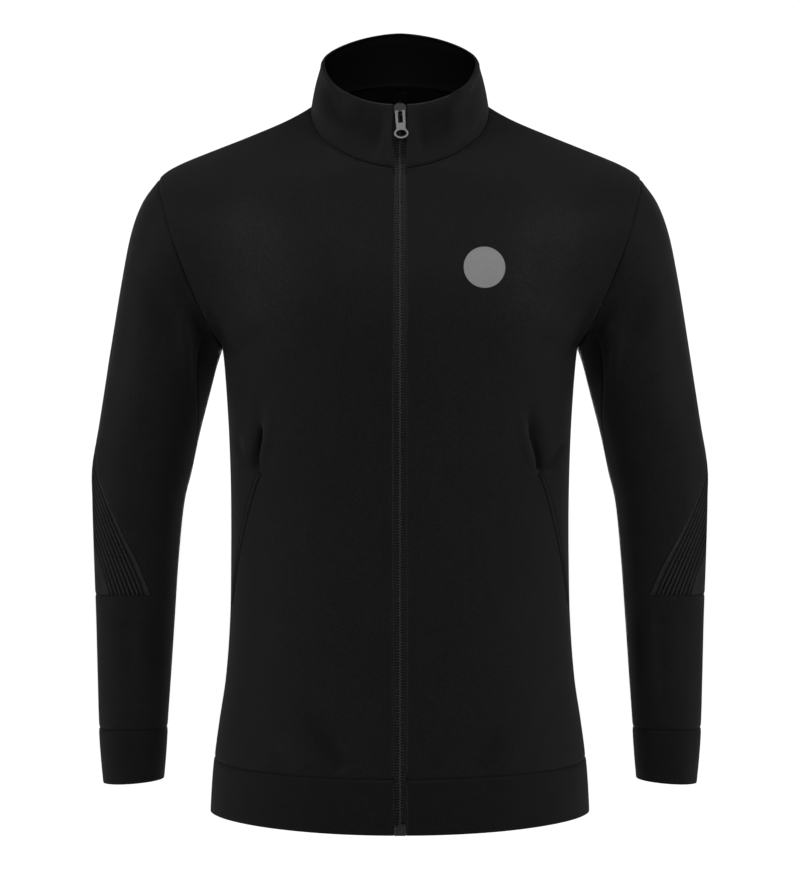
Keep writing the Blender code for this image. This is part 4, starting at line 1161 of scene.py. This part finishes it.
def cloth_object(sheet, outside, inside):
    """A closed wall with a rolled rim, from a sheet's points and heights."""
    seam = -SEAM_DEPTH * bell(sheet.seam_distance, SEAM_WIDTH)
    corners, outward, sewn = border_directions(sheet)
    outer = sheet.points + sheet.normals * (sheet.relief + sheet.lift + seam)[:, None]
    outer[corners] -= outward * np.where(sewn, SEAM_TRIM, sheet.thickness / 2)[:, None]
    sheet.outer = outer
    inner = outer - sheet.normals * sheet.thickness
    middle = (outer[corners] + inner[corners]) / 2
    half = (outer[corners] - inner[corners]) / 2
    bulge = outward * np.where(sewn, SEAM_TRIM + SEAM_LAP, sheet.thickness / 2)[:, None]
    loops = []
    for angle in np.linspace(math.pi / 2, -math.pi / 2, RIM_STEPS + 2)[1:-1]:
        loops.append(middle + half * math.sin(angle) + bulge * math.cos(angle))
    count = len(outer)
    points = np.concatenate([outer, inner] + loops)

    place = np.full(count, -1)
    place[corners] = np.arange(len(corners))
    near, far = sheet.border.T
    levels = [(near, far)]
    for k in range(RIM_STEPS):
        start = 2 * count + k * len(corners)
        levels.append((start + place[near], start + place[far]))
    levels.append((near + count, far + count))
    rim = np.concatenate([np.stack([b, a, c, d], axis=1) for (a, b), (c, d) in zip(levels, levels[1:])])

    corner_cut = np.zeros((count, 2))
    corner_cut[sheet.quads.reshape(-1)] = sheet.cut[sheet.corner_quads.reshape(-1)]
    edge_cut = corner_cut[np.stack([far, near, near, far], axis=1)]
    rim_cut = np.concatenate([edge_cut] * (RIM_STEPS + 1))
    quads = np.concatenate([sheet.quads, sheet.quads[:, ::-1] + count, rim])
    quad_cut = sheet.cut[sheet.corner_quads]
    cuts = np.concatenate([quad_cut, quad_cut[:, ::-1], rim_cut])
    whole = quads != np.roll(quads, 1, axis=1)
    faces = [without_repeats(quad) for quad in quads.tolist()]
    # tip quads take the darker inside material on their outside too: painted shade
    slots = sheet.tip.astype(int).tolist() + [1] * len(sheet.quads) + [0] * len(rim)
    # painted shade in seam ditches and fold troughs, painted highlight on fold ridges
    shade = np.clip(bell(sheet.seam_distance, SEAM_SHADE_WIDTH) - sheet.folds / SHADE_HEIGHT, -1, 1)
    crease = np.concatenate([shade, shade] + [shade[corners]] * RIM_STEPS).astype(np.float32)
    return add_mesh(
        sheet.name, points, faces, [outside, inside], face_materials=slots, cut=cuts[whole], crease=crease
    )


# ---- zip line ----
ZIP_LEVELS = np.concatenate([
    stepped((HEM_EDGE_Z - UNDERARM_Z, 0), (110,)),
    stepped((0, NECK_CLIMB), (34,))[1:-1],
])
ZIP_COLLAR_HEIGHTS = np.linspace(0, 1, 18)


def zip_rows(reaches):
    """Rows of points across the left half of the zip strip, from the hem edge to the collar's top.

    Each row lies on the fronts' outer surface, at the given distances from the centre line.
    """
    reaches = np.array(reaches, float)
    beyond = np.maximum(reaches - ZIP_SLOT_HALF, 0)
    rows = []
    for level in ZIP_LEVELS:
        row = row_points("front", level, lambda length: beyond)
        row[:, 0] = reaches
        rows.append(row)
    for height in ZIP_COLLAR_HEIGHTS:
        start = mix(NECK_START, COLLAR_TOP_START, height)
        row = collar_points(start + np.degrees(beyond / COLLAR_HALF_WIDTH), height)
        row[:, 0] = reaches
        rows.append(row)
    return np.array(rows)


def evenly(points, pitch, start=0.0, end=0.0):
    """Points every pitch along a line, leaving out a length at either end."""
    return along_line(points, lambda length: np.arange(start, length - end, pitch))


def zip_outward(line):
    """Directions out of the garment along a line on its centre plane."""
    return np.cross((1.0, 0.0, 0.0), unit(np.gradient(line, axis=0)))


TAPE_REACHES = (0.3, 1.0, 2.0, 3.0, 3.8, 4.1, 4.4, 4.7, 5.0, 5.6, 7.0, 9.0, 11.0, 13.0, TAPE_HALF)
TAPE_END_SHARES = np.linspace(0, 1, 8)[1:]
TapeLine = namedtuple("TapeLine", "reach width height")
TAPE_RIDGE = TapeLine(4.4, 0.35, 0.35)
TAPE_GROOVE = TapeLine(3.6, 0.3, -0.15)


def tape_sheet(name, side):
    """One tape behind the front's edge, with its loose end above the slider."""
    grid = zip_rows(TAPE_REACHES)
    last = grid[-1]
    rise = unit(last[0] - grid[-2][0])
    narrowed = mix(*TAPE_END_REACHES, last[:, 0] / TAPE_HALF)
    ends = []
    for share in TAPE_END_SHARES:
        row = last + rise * TAPE_END * share + np.array((0, TAPE_END_LEAN, 0)) * share * share
        row[:, 0] = mix(last[:, 0], narrowed, smooth(share * 3))
        ends.append(row)
    grid = np.concatenate([grid, np.array(ends)])
    lift = np.zeros(len(TAPE_REACHES))
    for line in (TAPE_RIDGE, TAPE_GROOVE):
        lift += line.height * bell(np.array(TAPE_REACHES) - line.reach, line.width)
    sheet = Sheet("zip_tape_" + name, [grid_part(mirrored(grid, side), lift=lift)], TAPE_CLOTH)
    sheet.relief = sheet.relief - TAPE_DEPTH
    # the loose end above the collar takes the darker inside material: painted shade
    middles = sheet.points[sheet.quads].mean(axis=1)
    sheet.tip = middles[:, 2] > TAPE_END_Z
    return sheet


# ---- many small things in one mesh ----
Template = namedtuple("Template", "points faces")


def bar_faces(rings, sides):
    """Faces of a closed bar made of rings with the same number of corners."""
    faces = []
    for i in range(rings - 1):
        for k in range(sides):
            near = i * sides + k
            far = i * sides + (k + 1) % sides
            faces.append((near, far, far + sides, near + sides))
    last = (rings - 1) * sides
    faces.append(tuple(reversed(range(sides))))
    faces.append(tuple(range(last, last + sides)))
    return faces


def rounded_bar(places, radii, sides, half_height, half_depth):
    """A closed bar along X with a ring of sides at each place, scaled by its radius."""
    angles = np.arange(sides) * math.tau / sides + math.pi / sides
    ring = np.stack([np.zeros(sides), half_depth * np.cos(angles), half_height * np.sin(angles)], axis=-1)
    points = np.concatenate([ring * radius + (place, 0, 0) for place, radius in zip(places, radii)])
    return Template(points, bar_faces(len(places), sides))


BAR_SHARES = np.array((-1.0, -0.8, -0.35, 0.35, 0.8, 1.0))
BAR_RADII = (0.35, 0.8, 1.0, 1.0, 0.8, 0.35)
STITCH = rounded_bar(BAR_SHARES * STITCH_LENGTH / 2, BAR_RADII, 6, STITCH_RADIUS * 1.2, STITCH_RADIUS)
TACK_STITCH = rounded_bar(BAR_SHARES * TACK_STITCH_HALF, BAR_RADII, 6, *TACK_STITCH_RADII)
TOOTH = rounded_bar(
    (-TOOTH_LAP, -TOOTH_LAP * 0.7, 0.2, 0.9, 1.5, TOOTH_REACH - 0.5, TOOTH_REACH),
    (0.8, 1.25, 1.32, 1.1, 0.8, 0.7, 0.4),
    8, TOOTH_HALF_HEIGHT, TOOTH_HALF_DEPTH,
)


def strands(name, places, template, material):
    """Copies of a template in one mesh; each place is a row of origin, X and Y directions."""
    origin, along, out = places[:, 0], places[:, 1], places[:, 2]
    third = np.cross(along, out)
    x, y, z = template.points.T
    points = origin[:, None] + along[:, None] * x[:, None] + out[:, None] * y[:, None]
    points += third[:, None] * z[:, None]
    faces = []
    count = len(template.points)
    for i in range(len(places)):
        faces += [tuple(corner + i * count for corner in face) for face in template.faces]
    return add_mesh(name, points.reshape(-1, 3), faces, [material])


FRONT_START_Y = -400


class Surface:
    """The finished outer surface of some sheets, for things that lie on them."""

    def __init__(self, sheets):
        starts = np.cumsum([0] + [len(sheet.outer) for sheet in sheets])
        points = np.concatenate([sheet.outer for sheet in sheets])
        quads = np.concatenate([sheet.quads + start for sheet, start in zip(sheets, starts)])
        faces = [without_repeats(quad) for quad in quads.tolist()]
        self.tree = BVHTree.FromPolygons(points.tolist(), faces)

    def nearest(self, point):
        place, normal, _, _ = self.tree.find_nearest(Vector(point))
        return np.array(place), np.array(normal)

    def ahead(self, x, z):
        """The point met from the front at a width and height."""
        return np.array(self.tree.ray_cast(Vector((x, FRONT_START_Y, z)), Vector((0, 1, 0)))[0])


def stitches_along(line, surface):
    """Places of stitches along a line, partly sunk into the cloth."""
    found = [surface.nearest(point) for point in evenly(line, STITCH_PITCH)]
    points = np.array([place for place, _ in found])
    normals = np.array([normal for _, normal in found])
    along = unit(np.gradient(points, axis=0))
    out = unit(normals - along * (normals * along).sum(axis=1)[:, None])
    origin = points + out * STITCH_RADIUS * (1 - 2 * STITCH_SINK)
    return np.stack([origin, along, out], axis=1)


def zip_stitch_line():
    return zip_rows((PLACKET_STITCH_REACH,))[1:-1, 0]


def neck_stitch_line():
    """A line round the neck, just outside the collar seam, from the zip to the back's centre."""
    seam = neck_points(np.linspace(NECK_START + NECK_STITCH_MARGIN, 180, NECK_LINE_SAMPLES))
    return seam + from_neck(seam) * NECK_STITCH_OFFSET - (0, 0, NECK_STITCH_DROP)


def pocket_line(offset):
    """A line along the pocket opening, an offset to the side of its middle."""
    line = []
    for level in np.linspace(POCKET_FOOT_Z, POCKET_TOP_Z, POCKET_LINE_SAMPLES) - UNDERARM_Z:
        place = pocket_place(level)
        line.append(row_points("front", level, lambda length: np.array([place * length + offset]))[0])
    return np.array(line)


def tack_line(side, surface):
    """Bars of thread side by side across the top end of a pocket opening."""
    line = mirrored(pocket_line(0), side)
    up = unit(line[-1] - line[-3])
    centre, normal = surface.nearest(line[-1] + up * TACK_RAISE)
    up = unit(up - normal * (up * normal).sum())
    across = np.cross(up, normal)
    places = []
    for k in range(TACK_BARS):
        share = k / (TACK_BARS - 1) * 2 - 1
        tilt = unit(up + across * TACK_TILT * (-1) ** k)
        place, out = surface.nearest(centre + across * share * TACK_LENGTH / 2)
        places.append((place + out * TACK_LIFT, tilt, out))
    return np.array(places)


# ---- zip parts ----
def make_teeth():
    """Alternating teeth from the box to the slider."""
    line = evenly(zip_rows((0.0,))[:, 0], TOOTH_PITCH, BOX_LENGTH + BOX_TOOTH_GAP, SLIDER_GAP)
    out = zip_outward(line)
    relief = fold_relief(line, out, on_sleeve=False)
    origin = line + out * (relief - TOOTH_DEPTH)[:, None]
    across = np.zeros_like(line)
    across[:, 0] = np.where(np.arange(len(line)) % 2 == 0, 1.0, -1.0)
    return strands("zip_teeth", np.stack([origin, across, out], axis=1), TOOTH, COIL)


BOX_HALF_PROFILE = (
    (0.4, -0.2), (0.7, 0.6), (2.2, 0.6), (2.5, -0.3), (3.1, -0.3), (3.4, 0.6), (5.2, 0.6), (5.7, 0.2),
    (5.7, -2.2), (5.2, -2.6),
)
BOX_PROFILE = [(-x, y) for x, y in reversed(BOX_HALF_PROFILE)] + list(BOX_HALF_PROFILE)


def make_zip_box():
    """The retainer box, with its grooves, that closes the zip's lower end."""
    line = evenly(zip_rows((0.0,))[:, 0], BOX_STEP)[:int(BOX_LENGTH / BOX_STEP) + 1]
    out = zip_outward(line)
    profile = np.array(BOX_PROFILE)
    scale = np.ones(len(line))
    for k, shrink in enumerate(BOX_END_SHRINK):
        scale[[k, -1 - k]] -= shrink
    rings = []
    for k, base in enumerate(line):
        across = np.outer(profile[:, 0] * scale[k], (1, 0, 0))
        rings.append(base + across + np.outer((profile[:, 1] + 1) * scale[k] - 1, out[k]))
    faces = bar_faces(len(rings), len(profile))
    made = add_mesh("zip_box_metal", np.concatenate(rings), faces, [METAL])
    soften(made)
    return made


def soften(piece):
    """Small rounded edges that catch the light."""
    bevel = piece.modifiers.new("rounded_edges", "BEVEL")
    bevel.width = METAL_EDGE * MM
    bevel.segments = 2
    bevel.limit_method = "ANGLE"
    bevel.angle_limit = math.radians(METAL_EDGE_ANGLE)
    bevel.harden_normals = True


def soften_metal(name, material):
    """Keeps a metal part's own shape, with rounded edges and plating."""
    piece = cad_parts[name]
    piece.data.materials.clear()
    piece.data.materials.append(material)
    soften(piece)


PRINT_INNER_RADII = (0, 2, 5, 8, 11, 14, 15.5)
PRINT_RING_RADII = np.linspace(16, 17.6, 9)
PRINT_EDGE_RADII = (18.4, 19.2, 19.7, PRINT_RADIUS)
PRINT_SIDES = 96


def make_print(surface):
    """A thin film disc with a faint pressed ring near its edge."""
    radii = np.concatenate([PRINT_INNER_RADII, PRINT_RING_RADII, PRINT_EDGE_RADII])
    angles = np.linspace(0, math.tau, PRINT_SIDES + 1)
    grid = np.zeros((len(radii), len(angles), 3))
    for i, radius in enumerate(radii):
        for k, angle in enumerate(angles):
            x = PRINT_CENTRE[0] + radius * math.cos(angle)
            z = PRINT_CENTRE[1] + radius * math.sin(angle)
            grid[i, k] = surface.ahead(x, z)
    lift = PRINT_FILM - PRINT_RING_DEPTH * bell(radii - PRINT_RING_RADIUS, PRINT_RING_WIDTH)
    part = grid_part(grid, lift=lift[:, None])
    sheet = Sheet("chest_print_film", [part], PRINT_FILM, relief=False)
    return cloth_object(sheet, FILM, FILM)


# ---- materials ----
# Blender's wave texture turns by this many radians for each unit of its scale.
WAVE_TURN = 20
NOISE_SPREAD = (0.3, 0.7)


class Nodes:
    """A Principled material and short calls that add nodes to it."""

    def __init__(self, name, colour, roughness, metallic=0.0, specular=0.5):
        self.material = bpy.data.materials.new(name)
        self.material.use_nodes = True
        self.tree = self.material.node_tree
        self.shader = self.tree.nodes["Principled BSDF"]
        self.shader.inputs["Base Color"].default_value = (*colour, 1)
        self.shader.inputs["Roughness"].default_value = roughness
        self.shader.inputs["Metallic"].default_value = metallic
        self.shader.inputs["Specular IOR Level"].default_value = specular
        self.material.diffuse_color = (*colour, 1)

    def fill(self, socket, value):
        """Links a socket to another one or sets its constant."""
        if isinstance(value, bpy.types.NodeSocket):
            self.tree.links.new(value, socket)
        else:
            socket.default_value = value

    def add(self, kind, settings=None, **inputs):
        node = self.tree.nodes.new(kind)
        for key, value in (settings or {}).items():
            setattr(node, key, value)
        for key, value in inputs.items():
            self.fill(node.inputs[key.replace("_", " ")], value)
        return node

    def place(self):
        return self.add("ShaderNodeTexCoord").outputs["Object"]

    def cut(self):
        return self.add("ShaderNodeUVMap", {"uv_map": "cut"}).outputs["UV"]

    def noise(self, size, detail=2.0):
        """Noise with features about size millimetres across, from 0 to 1."""
        scale = 1 / (size * MM)
        node = self.add("ShaderNodeTexNoise", Vector=self.place(), Scale=scale, Detail=detail)
        return node.outputs["Fac"]

    def stripes(self, pitch, direction, vector, start=0.0):
        """Soft ridges pitch millimetres apart across the X or Y direction, from a start."""
        settings = {"wave_type": "BANDS", "bands_direction": direction, "wave_profile": "SIN"}
        scale = math.tau / (WAVE_TURN * pitch * MM)
        phase = -math.tau * start / pitch
        node = self.add("ShaderNodeTexWave", settings, Vector=vector, Scale=scale, Phase_Offset=phase)
        return node.outputs["Fac"]

    def grooves(self, cut):
        """Painted shade: a tone that darkens in the elbow panel's pressed grooves, which are even in its
        cut.
        """
        wave = self.stripes(GROOVE_PITCH, "Y", cut, GROOVE_START)
        distance = self.add("ShaderNodeSeparateXYZ", Vector=cut).outputs["Y"]
        margin = GROOVE_PITCH * MM / 2
        first = GROOVE_START * MM
        last = first + GROOVE_COUNT * GROOVE_PITCH * MM
        starts = self.ranged(distance, 0.0, 1.0, first - margin, first)
        ends = self.ranged(distance, 1.0, 0.0, last, last + margin)
        ribbed = self.maths("MULTIPLY", starts, ends)
        dark = self.maths("MULTIPLY", ribbed, self.ranged(wave, GROOVE_SHADE, 0.0))
        return self.maths("SUBTRACT", 1.0, dark)

    def ranged(self, value, low, high, start=0.0, end=1.0):
        inputs = {"Value": value, "From_Min": start, "From_Max": end, "To_Min": low, "To_Max": high}
        return self.add("ShaderNodeMapRange", **inputs).outputs["Result"]

    def varied(self, noise, low, high):
        """Values from low to high over most of a noise's spread."""
        return self.ranged(noise, low, high, *NOISE_SPREAD)

    def maths(self, operation, first, second):
        node = self.add("ShaderNodeMath", {"operation": operation})
        self.fill(node.inputs[0], first)
        self.fill(node.inputs[1], second)
        return node.outputs["Value"]

    def painted_zip_shading(self):
        """Painted light and shade: a tone that grows lighter up the zip's upper half (painted light) and
        dark where it passes the collar (painted shade).
        """
        height = self.add("ShaderNodeSeparateXYZ", Vector=self.place()).outputs["Z"]
        tones = []
        for tone, (low, high) in ((ZIP_PAINTED_LIGHT, ZIP_PAINTED_LIGHT_Z), (ZIP_COLLAR_PAINTED_SHADE, ZIP_COLLAR_Z)):
            tones.append(self.ranged(height, 1.0, tone, low * MM, high * MM))
        return self.maths("MULTIPLY", *tones)

    def shade_colour(self, colour, factor):
        """The base colour times a factor that varies over the surface."""
        scaled = self.add("ShaderNodeVectorMath", {"operation": "SCALE"})
        scaled.inputs[0].default_value = colour
        self.tree.links.new(factor, scaled.inputs["Scale"])
        self.tree.links.new(scaled.outputs["Vector"], self.shader.inputs["Base Color"])

    def bump(self, height, depth):
        node = self.add("ShaderNodeBump", Height=height, Distance=depth * MM, Strength=1.0)
        self.tree.links.new(node.outputs["Normal"], self.shader.inputs["Normal"])

    def roughness(self, value):
        self.tree.links.new(value, self.shader.inputs["Roughness"])


KNIT_COURSE = 0.9
KNIT_FLECK = 0.36
KNIT_DRIFT = 0.05


def knit(name, colour, wale=1.1, depth=0.16, sheen=0.08, specular=0.05, painted_groove_shade=False):
    """Matt knit: fine wales and courses, a faint fleck and slow drifts in tone, with painted shade in
    seam ditches and fold troughs and painted highlight on fold ridges.
    """
    made = Nodes(name, colour, 0.4, specular=specular)
    made.shader.inputs["Sheen Weight"].default_value = sheen
    made.shader.inputs["Sheen Roughness"].default_value = 0.45
    made.shader.inputs["Sheen Tint"].default_value = (1, 1, 1, 1)
    cut = made.cut()
    loops = made.maths("MULTIPLY", made.stripes(wale, "X", cut), made.stripes(KNIT_COURSE, "Y", cut))
    fine = made.noise(1.7, detail=3.0)
    broad = made.noise(26.0)
    fleck = made.varied(fine, 1 - KNIT_FLECK, 1 + KNIT_FLECK)
    drift = made.varied(broad, 1 - KNIT_DRIFT, 1 + KNIT_DRIFT)
    tone = made.maths("MULTIPLY", fleck, drift)
    # painted shade in the elbow panel's grooves
    if painted_groove_shade:
        tone = made.maths("MULTIPLY", tone, made.grooves(cut))
    # painted shade in seam ditches and fold troughs, painted highlight on fold ridges
    crease = made.add("ShaderNodeAttribute", {"attribute_name": "crease"}).outputs["Fac"]
    tone = made.maths("MULTIPLY", tone, made.ranged(crease, 1 + SHADE, 1 - SHADE, -1.0, 1.0))
    made.shade_colour(colour, tone)
    made.roughness(made.varied(fine, 0.36, 0.5))
    made.bump(made.maths("ADD", loops, made.maths("MULTIPLY", fine, 0.8)), depth)
    return made.material


def woven_tape(name, colour, specular=0.35):
    """Ribs along the tape with finer threads across them, with the same painted light and shade as the
    teeth.
    """
    made = Nodes(name, colour, 0.5, specular=specular)
    cut = made.cut()
    threads = made.maths("MULTIPLY", made.stripes(0.6, "Y", cut), 0.6)
    weave = made.maths("ADD", made.stripes(0.75, "X", cut), threads)
    tone = made.ranged(weave, 0.6, 1.35, 0.0, 1.6)
    made.shade_colour(colour, made.maths("MULTIPLY", tone, made.painted_zip_shading()))
    made.bump(weave, 0.2)
    return made.material


def plated_metal(name, colour, gloss=0.3):
    """Gunmetal plating with faint rubbing and slightly uneven gloss."""
    made = Nodes(name, colour, gloss, metallic=0.95)
    patches = made.noise(2.2, detail=4.0)
    made.shade_colour(colour, made.varied(patches, 0.75, 1.3))
    made.roughness(made.varied(patches, gloss - 0.06, gloss + 0.12))
    made.bump(made.noise(0.5), 0.02)
    return made.material


def moulded_coil(name, colour):
    """Smooth plastic teeth with slightly uneven gloss, painted light up the zip and painted shade at the
    collar.
    """
    made = Nodes(name, colour, 0.36, specular=0.45)
    patches = made.noise(1.5)
    tone = made.varied(patches, 0.85, 1.15)
    made.shade_colour(colour, made.maths("MULTIPLY", tone, made.painted_zip_shading()))
    made.roughness(made.varied(patches, 0.3, 0.44))
    return made.material


def twisted_thread(name, colour):
    """Dull sewing thread whose plies show as small light and dark flecks."""
    made = Nodes(name, colour, 0.6, specular=0.15)
    twist = made.noise(0.35)
    made.shade_colour(colour, made.varied(twist, 0.7, 1.3))
    made.bump(twist, 0.06)
    return made.material


def print_film(name, colour):
    """Matt transfer film with a fine grain, a little uneven over the knit below it."""
    made = Nodes(name, colour, 0.55, specular=0.3)
    grain = made.noise(1.2, detail=3.0)
    made.shade_colour(colour, made.varied(grain, 0.93, 1.07))
    made.bump(made.maths("ADD", grain, made.noise(5.0)), 0.05)
    return made.material


KNIT = knit("knit_outside", (0.0088, 0.0088, 0.0091))
# The cloth's inside is the same knit made much darker: painted shade.
SHADED_KNIT_INSIDE = knit("knit_inside_painted_shade", (0.0017, 0.0017, 0.0018), sheen=0.0, specular=0.03)
BAND_KNIT = knit("band_knit", (0.0072, 0.0072, 0.0074), wale=1.2)
ELBOW_KNIT = knit(
    "elbow_knit", (0.026, 0.026, 0.0266), wale=0.9, depth=0.1, sheen=0.02, specular=0.03, painted_groove_shade=True
)
POCKET_CLOTH = knit("pocket_cloth", (0.006, 0.006, 0.0062), wale=0.8, depth=0.08)
TAPE = woven_tape("zip_tape", (0.0125, 0.0125, 0.0129))
# The tape's back and its loose ends above the slider take the same tape made much darker: painted shade.
SHADED_TAPE_BACK = woven_tape("zip_tape_back", (0.002, 0.002, 0.0021), 0.02)
COIL = moulded_coil("zip_coil", (0.0145, 0.0145, 0.015))
METAL = plated_metal("gunmetal", (0.075, 0.075, 0.078))
DARK_METAL = plated_metal("dark_gunmetal", (0.024, 0.024, 0.025), 0.4)
THREAD = twisted_thread("thread", (0.006, 0.006, 0.0062))
FILM = print_film("print_film", (0.24, 0.24, 0.245))

# ---- cloth: the cut of each piece (width, length and area in metres), material and slot ----
Cut = namedtuple("Cut", "width length area outside slot")
CUTS = {
    "front": Cut(0.24, 0.70, 0.1448, KNIT, "knit"),
    "back": Cut(0.50, 0.70, 0.3032, KNIT, "knit"),
    "sleeve": Cut(0.50, 0.56, 0.134, KNIT, "knit"),
    "elbow_panel": Cut(0.18, 0.158, 0.0166, ELBOW_KNIT, "elbow_knit"),
    "cuff": Cut(0.22, 0.055, 0.01105, BAND_KNIT, "rib_knit"),
    "hem_band": Cut(0.97, 0.055, 0.0517, BAND_KNIT, "rib_knit"),
    "collar": Cut(0.54, 0.066, 0.0261, KNIT, "knit"),
    "pocket_welt": Cut(0.144, 0.01, 0.00066, KNIT, "knit"),
    "zip_tape": Cut(0.727, 0.014, 0.0099, TAPE, "zip_tape"),
    "pocket_bag": Cut(0.165, 0.216, 0.0348, POCKET_CLOTH, "pocket_cloth"),
}


def all_sheets():
    sheets = front_sheets() + [back_sheet(), hem_sheet(), collar_sheet()]
    for name, side in SIDES:
        sheets += [sleeve_sheet(name, side), cuff_sheet(name, side), elbow_sheet(name, side)]
    return sheets


def make_cloth(sheets):
    for sheet in sheets:
        cut = CUTS[sheet.name.removesuffix("_right").removesuffix("_left")]
        inside = SHADED_TAPE_BACK if cut.outside == TAPE else SHADED_KNIT_INSIDE
        piece = cloth_object(sheet, cut.outside, inside)
        piece.name = sheet.name + "_cloth"
        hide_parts(sheet.name)


outer_sheets = all_sheets()
mark_seams(outer_sheets)
hidden_sheets = []
for side_name, side_sign in SIDES:
    hidden_sheets += [pocket_bag_sheet(side_name, side_sign), tape_sheet(side_name, side_sign)]
make_cloth(outer_sheets + hidden_sheets)

# ---- small parts ----
surface = Surface(outer_sheets)
for side_name, side_sign in SIDES:
    bars = tack_line(side_sign, surface)
    made = strands("pocket_tack_" + side_name + "_thread", bars, TACK_STITCH, THREAD)
    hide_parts("pocket_tack_" + side_name)
stitch_lines = {
    "zip_stitching": [zip_stitch_line()],
    "neck_stitching": [neck_stitch_line()],
    "pocket_stitching": [pocket_line(-POCKET_STITCH_OFFSET), pocket_line(POCKET_STITCH_OFFSET)],
}
for group_name, half_lines in stitch_lines.items():
    placed = []
    for half_line in half_lines:
        placed += [stitches_along(line, surface) for line in on_both_sides(half_line)]
    made = strands(group_name, np.concatenate(placed), STITCH, THREAD)
teeth = make_teeth()
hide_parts("zip_coil")
box = make_zip_box()
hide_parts("zip_box")
disc = make_print(surface)
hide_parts("chest_print")
soften_metal("zip_slider", DARK_METAL)
soften_metal("zip_pull", METAL)


# ---- stage ----
def make_camera():
    data = bpy.data.cameras.new("camera")
    data.sensor_width = SENSOR
    data.lens = SENSOR * VIEW_DISTANCE / VIEW_TALL
    camera = new_object("camera", data)
    camera.location = Vector((0, -VIEW_DISTANCE, VIEW_HEIGHT)) * MM
    camera.rotation_euler = (math.radians(90), 0, 0)
    bpy.context.scene.camera = camera


FLOOR_REACH = 40
FLOOR_Z = -1.45
WORLD_WHITE = 1.05
LAMP_TARGET = Vector((0, 0, -0.35))
Softbox = namedtuple("Softbox", "name paired azimuth reach z width tall power")
SOFTBOXES = (
    Softbox("side_softbox", True, 80, 2.8, 0.0, 1.0, 2.2, 16.0),
    Softbox("high_softbox", True, 55, 2.8, 1.6, 1.2, 1.2, 25.0),
    Softbox("front_softbox", False, 0, 2.6, 1.6, 2.0, 1.2, 34.5),
    Softbox("top_softbox", False, 0, 0.6, 2.4, 2.4, 1.2, 8.0),
    Softbox("rear_softbox", True, 152, 2.8, 0.1, 0.8, 1.6, 0.9),
    Softbox("back_softbox", False, 180, 2.7, 0.0, 0.4, 2.0, 9.0),
)


def add_softbox(name, place, softbox):
    """A soft rectangular lamp at a place in metres, aimed at the jacket's middle."""
    data = bpy.data.lights.new(name, "AREA")
    data.shape = "RECTANGLE"
    data.size = softbox.width
    data.size_y = softbox.tall
    data.energy = softbox.power
    lamp = new_object(name, data)
    lamp.visible_camera = False
    lamp.location = place
    aim = LAMP_TARGET - Vector(place)
    lamp.rotation_euler = aim.to_track_quat("-Z", "Y").to_euler()


def make_lights():
    """Single softboxes on the centre plane and mirrored pairs, at azimuths from the front."""
    for softbox in SOFTBOXES:
        across = softbox.reach * math.sin(math.radians(softbox.azimuth))
        ahead = -softbox.reach * math.cos(math.radians(softbox.azimuth))
        if softbox.paired:
            for side_name, side in SIDES:
                add_softbox(f"{softbox.name}_{side_name}", (side * across, ahead, softbox.z), softbox)
        else:
            add_softbox(softbox.name, (across, ahead, softbox.z), softbox)


def camera_only(tree, strength):
    """A strength that only what the camera sees directly has."""
    seen_by_camera = tree.nodes.new("ShaderNodeLightPath").outputs["Is Camera Ray"]
    chosen = tree.nodes.new("ShaderNodeMapRange")
    chosen.inputs["To Max"].default_value = strength
    tree.links.new(seen_by_camera, chosen.inputs["Value"])
    return chosen.outputs["Result"]


def make_world():
    """White surroundings that give no light of their own."""
    world = bpy.data.worlds.new("surroundings")
    bpy.context.scene.world = world
    world.use_nodes = True
    tree = world.node_tree
    tree.nodes.clear()
    background = tree.nodes.new("ShaderNodeBackground")
    background.inputs["Color"].default_value = (1, 1, 1, 1)
    tree.links.new(camera_only(tree, WORLD_WHITE), background.inputs["Strength"])
    output = tree.nodes.new("ShaderNodeOutputWorld")
    tree.links.new(background.outputs["Background"], output.inputs["Surface"])


def make_floor():
    """A wide pale floor below the hanging jacket."""
    made = Nodes("floor", (0.9, 0.9, 0.9), 0.9, specular=0.1)
    made.shader.inputs["Emission Color"].default_value = (1, 1, 1, 1)
    made.tree.links.new(camera_only(made.tree, 1.0), made.shader.inputs["Emission Strength"])
    signs = ((-1, -1), (1, -1), (1, 1), (-1, 1))
    corners = [(x * FLOOR_REACH, y * FLOOR_REACH, FLOOR_Z) for x, y in signs]
    mesh = bpy.data.meshes.new("floor")
    mesh.from_pydata(corners, [], [(0, 1, 2, 3)])
    mesh.materials.append(made.material)
    floor = new_object("floor", mesh)


make_camera()
make_lights()
make_world()
make_floor()
bpy.context.scene.view_settings.view_transform = "Standard"
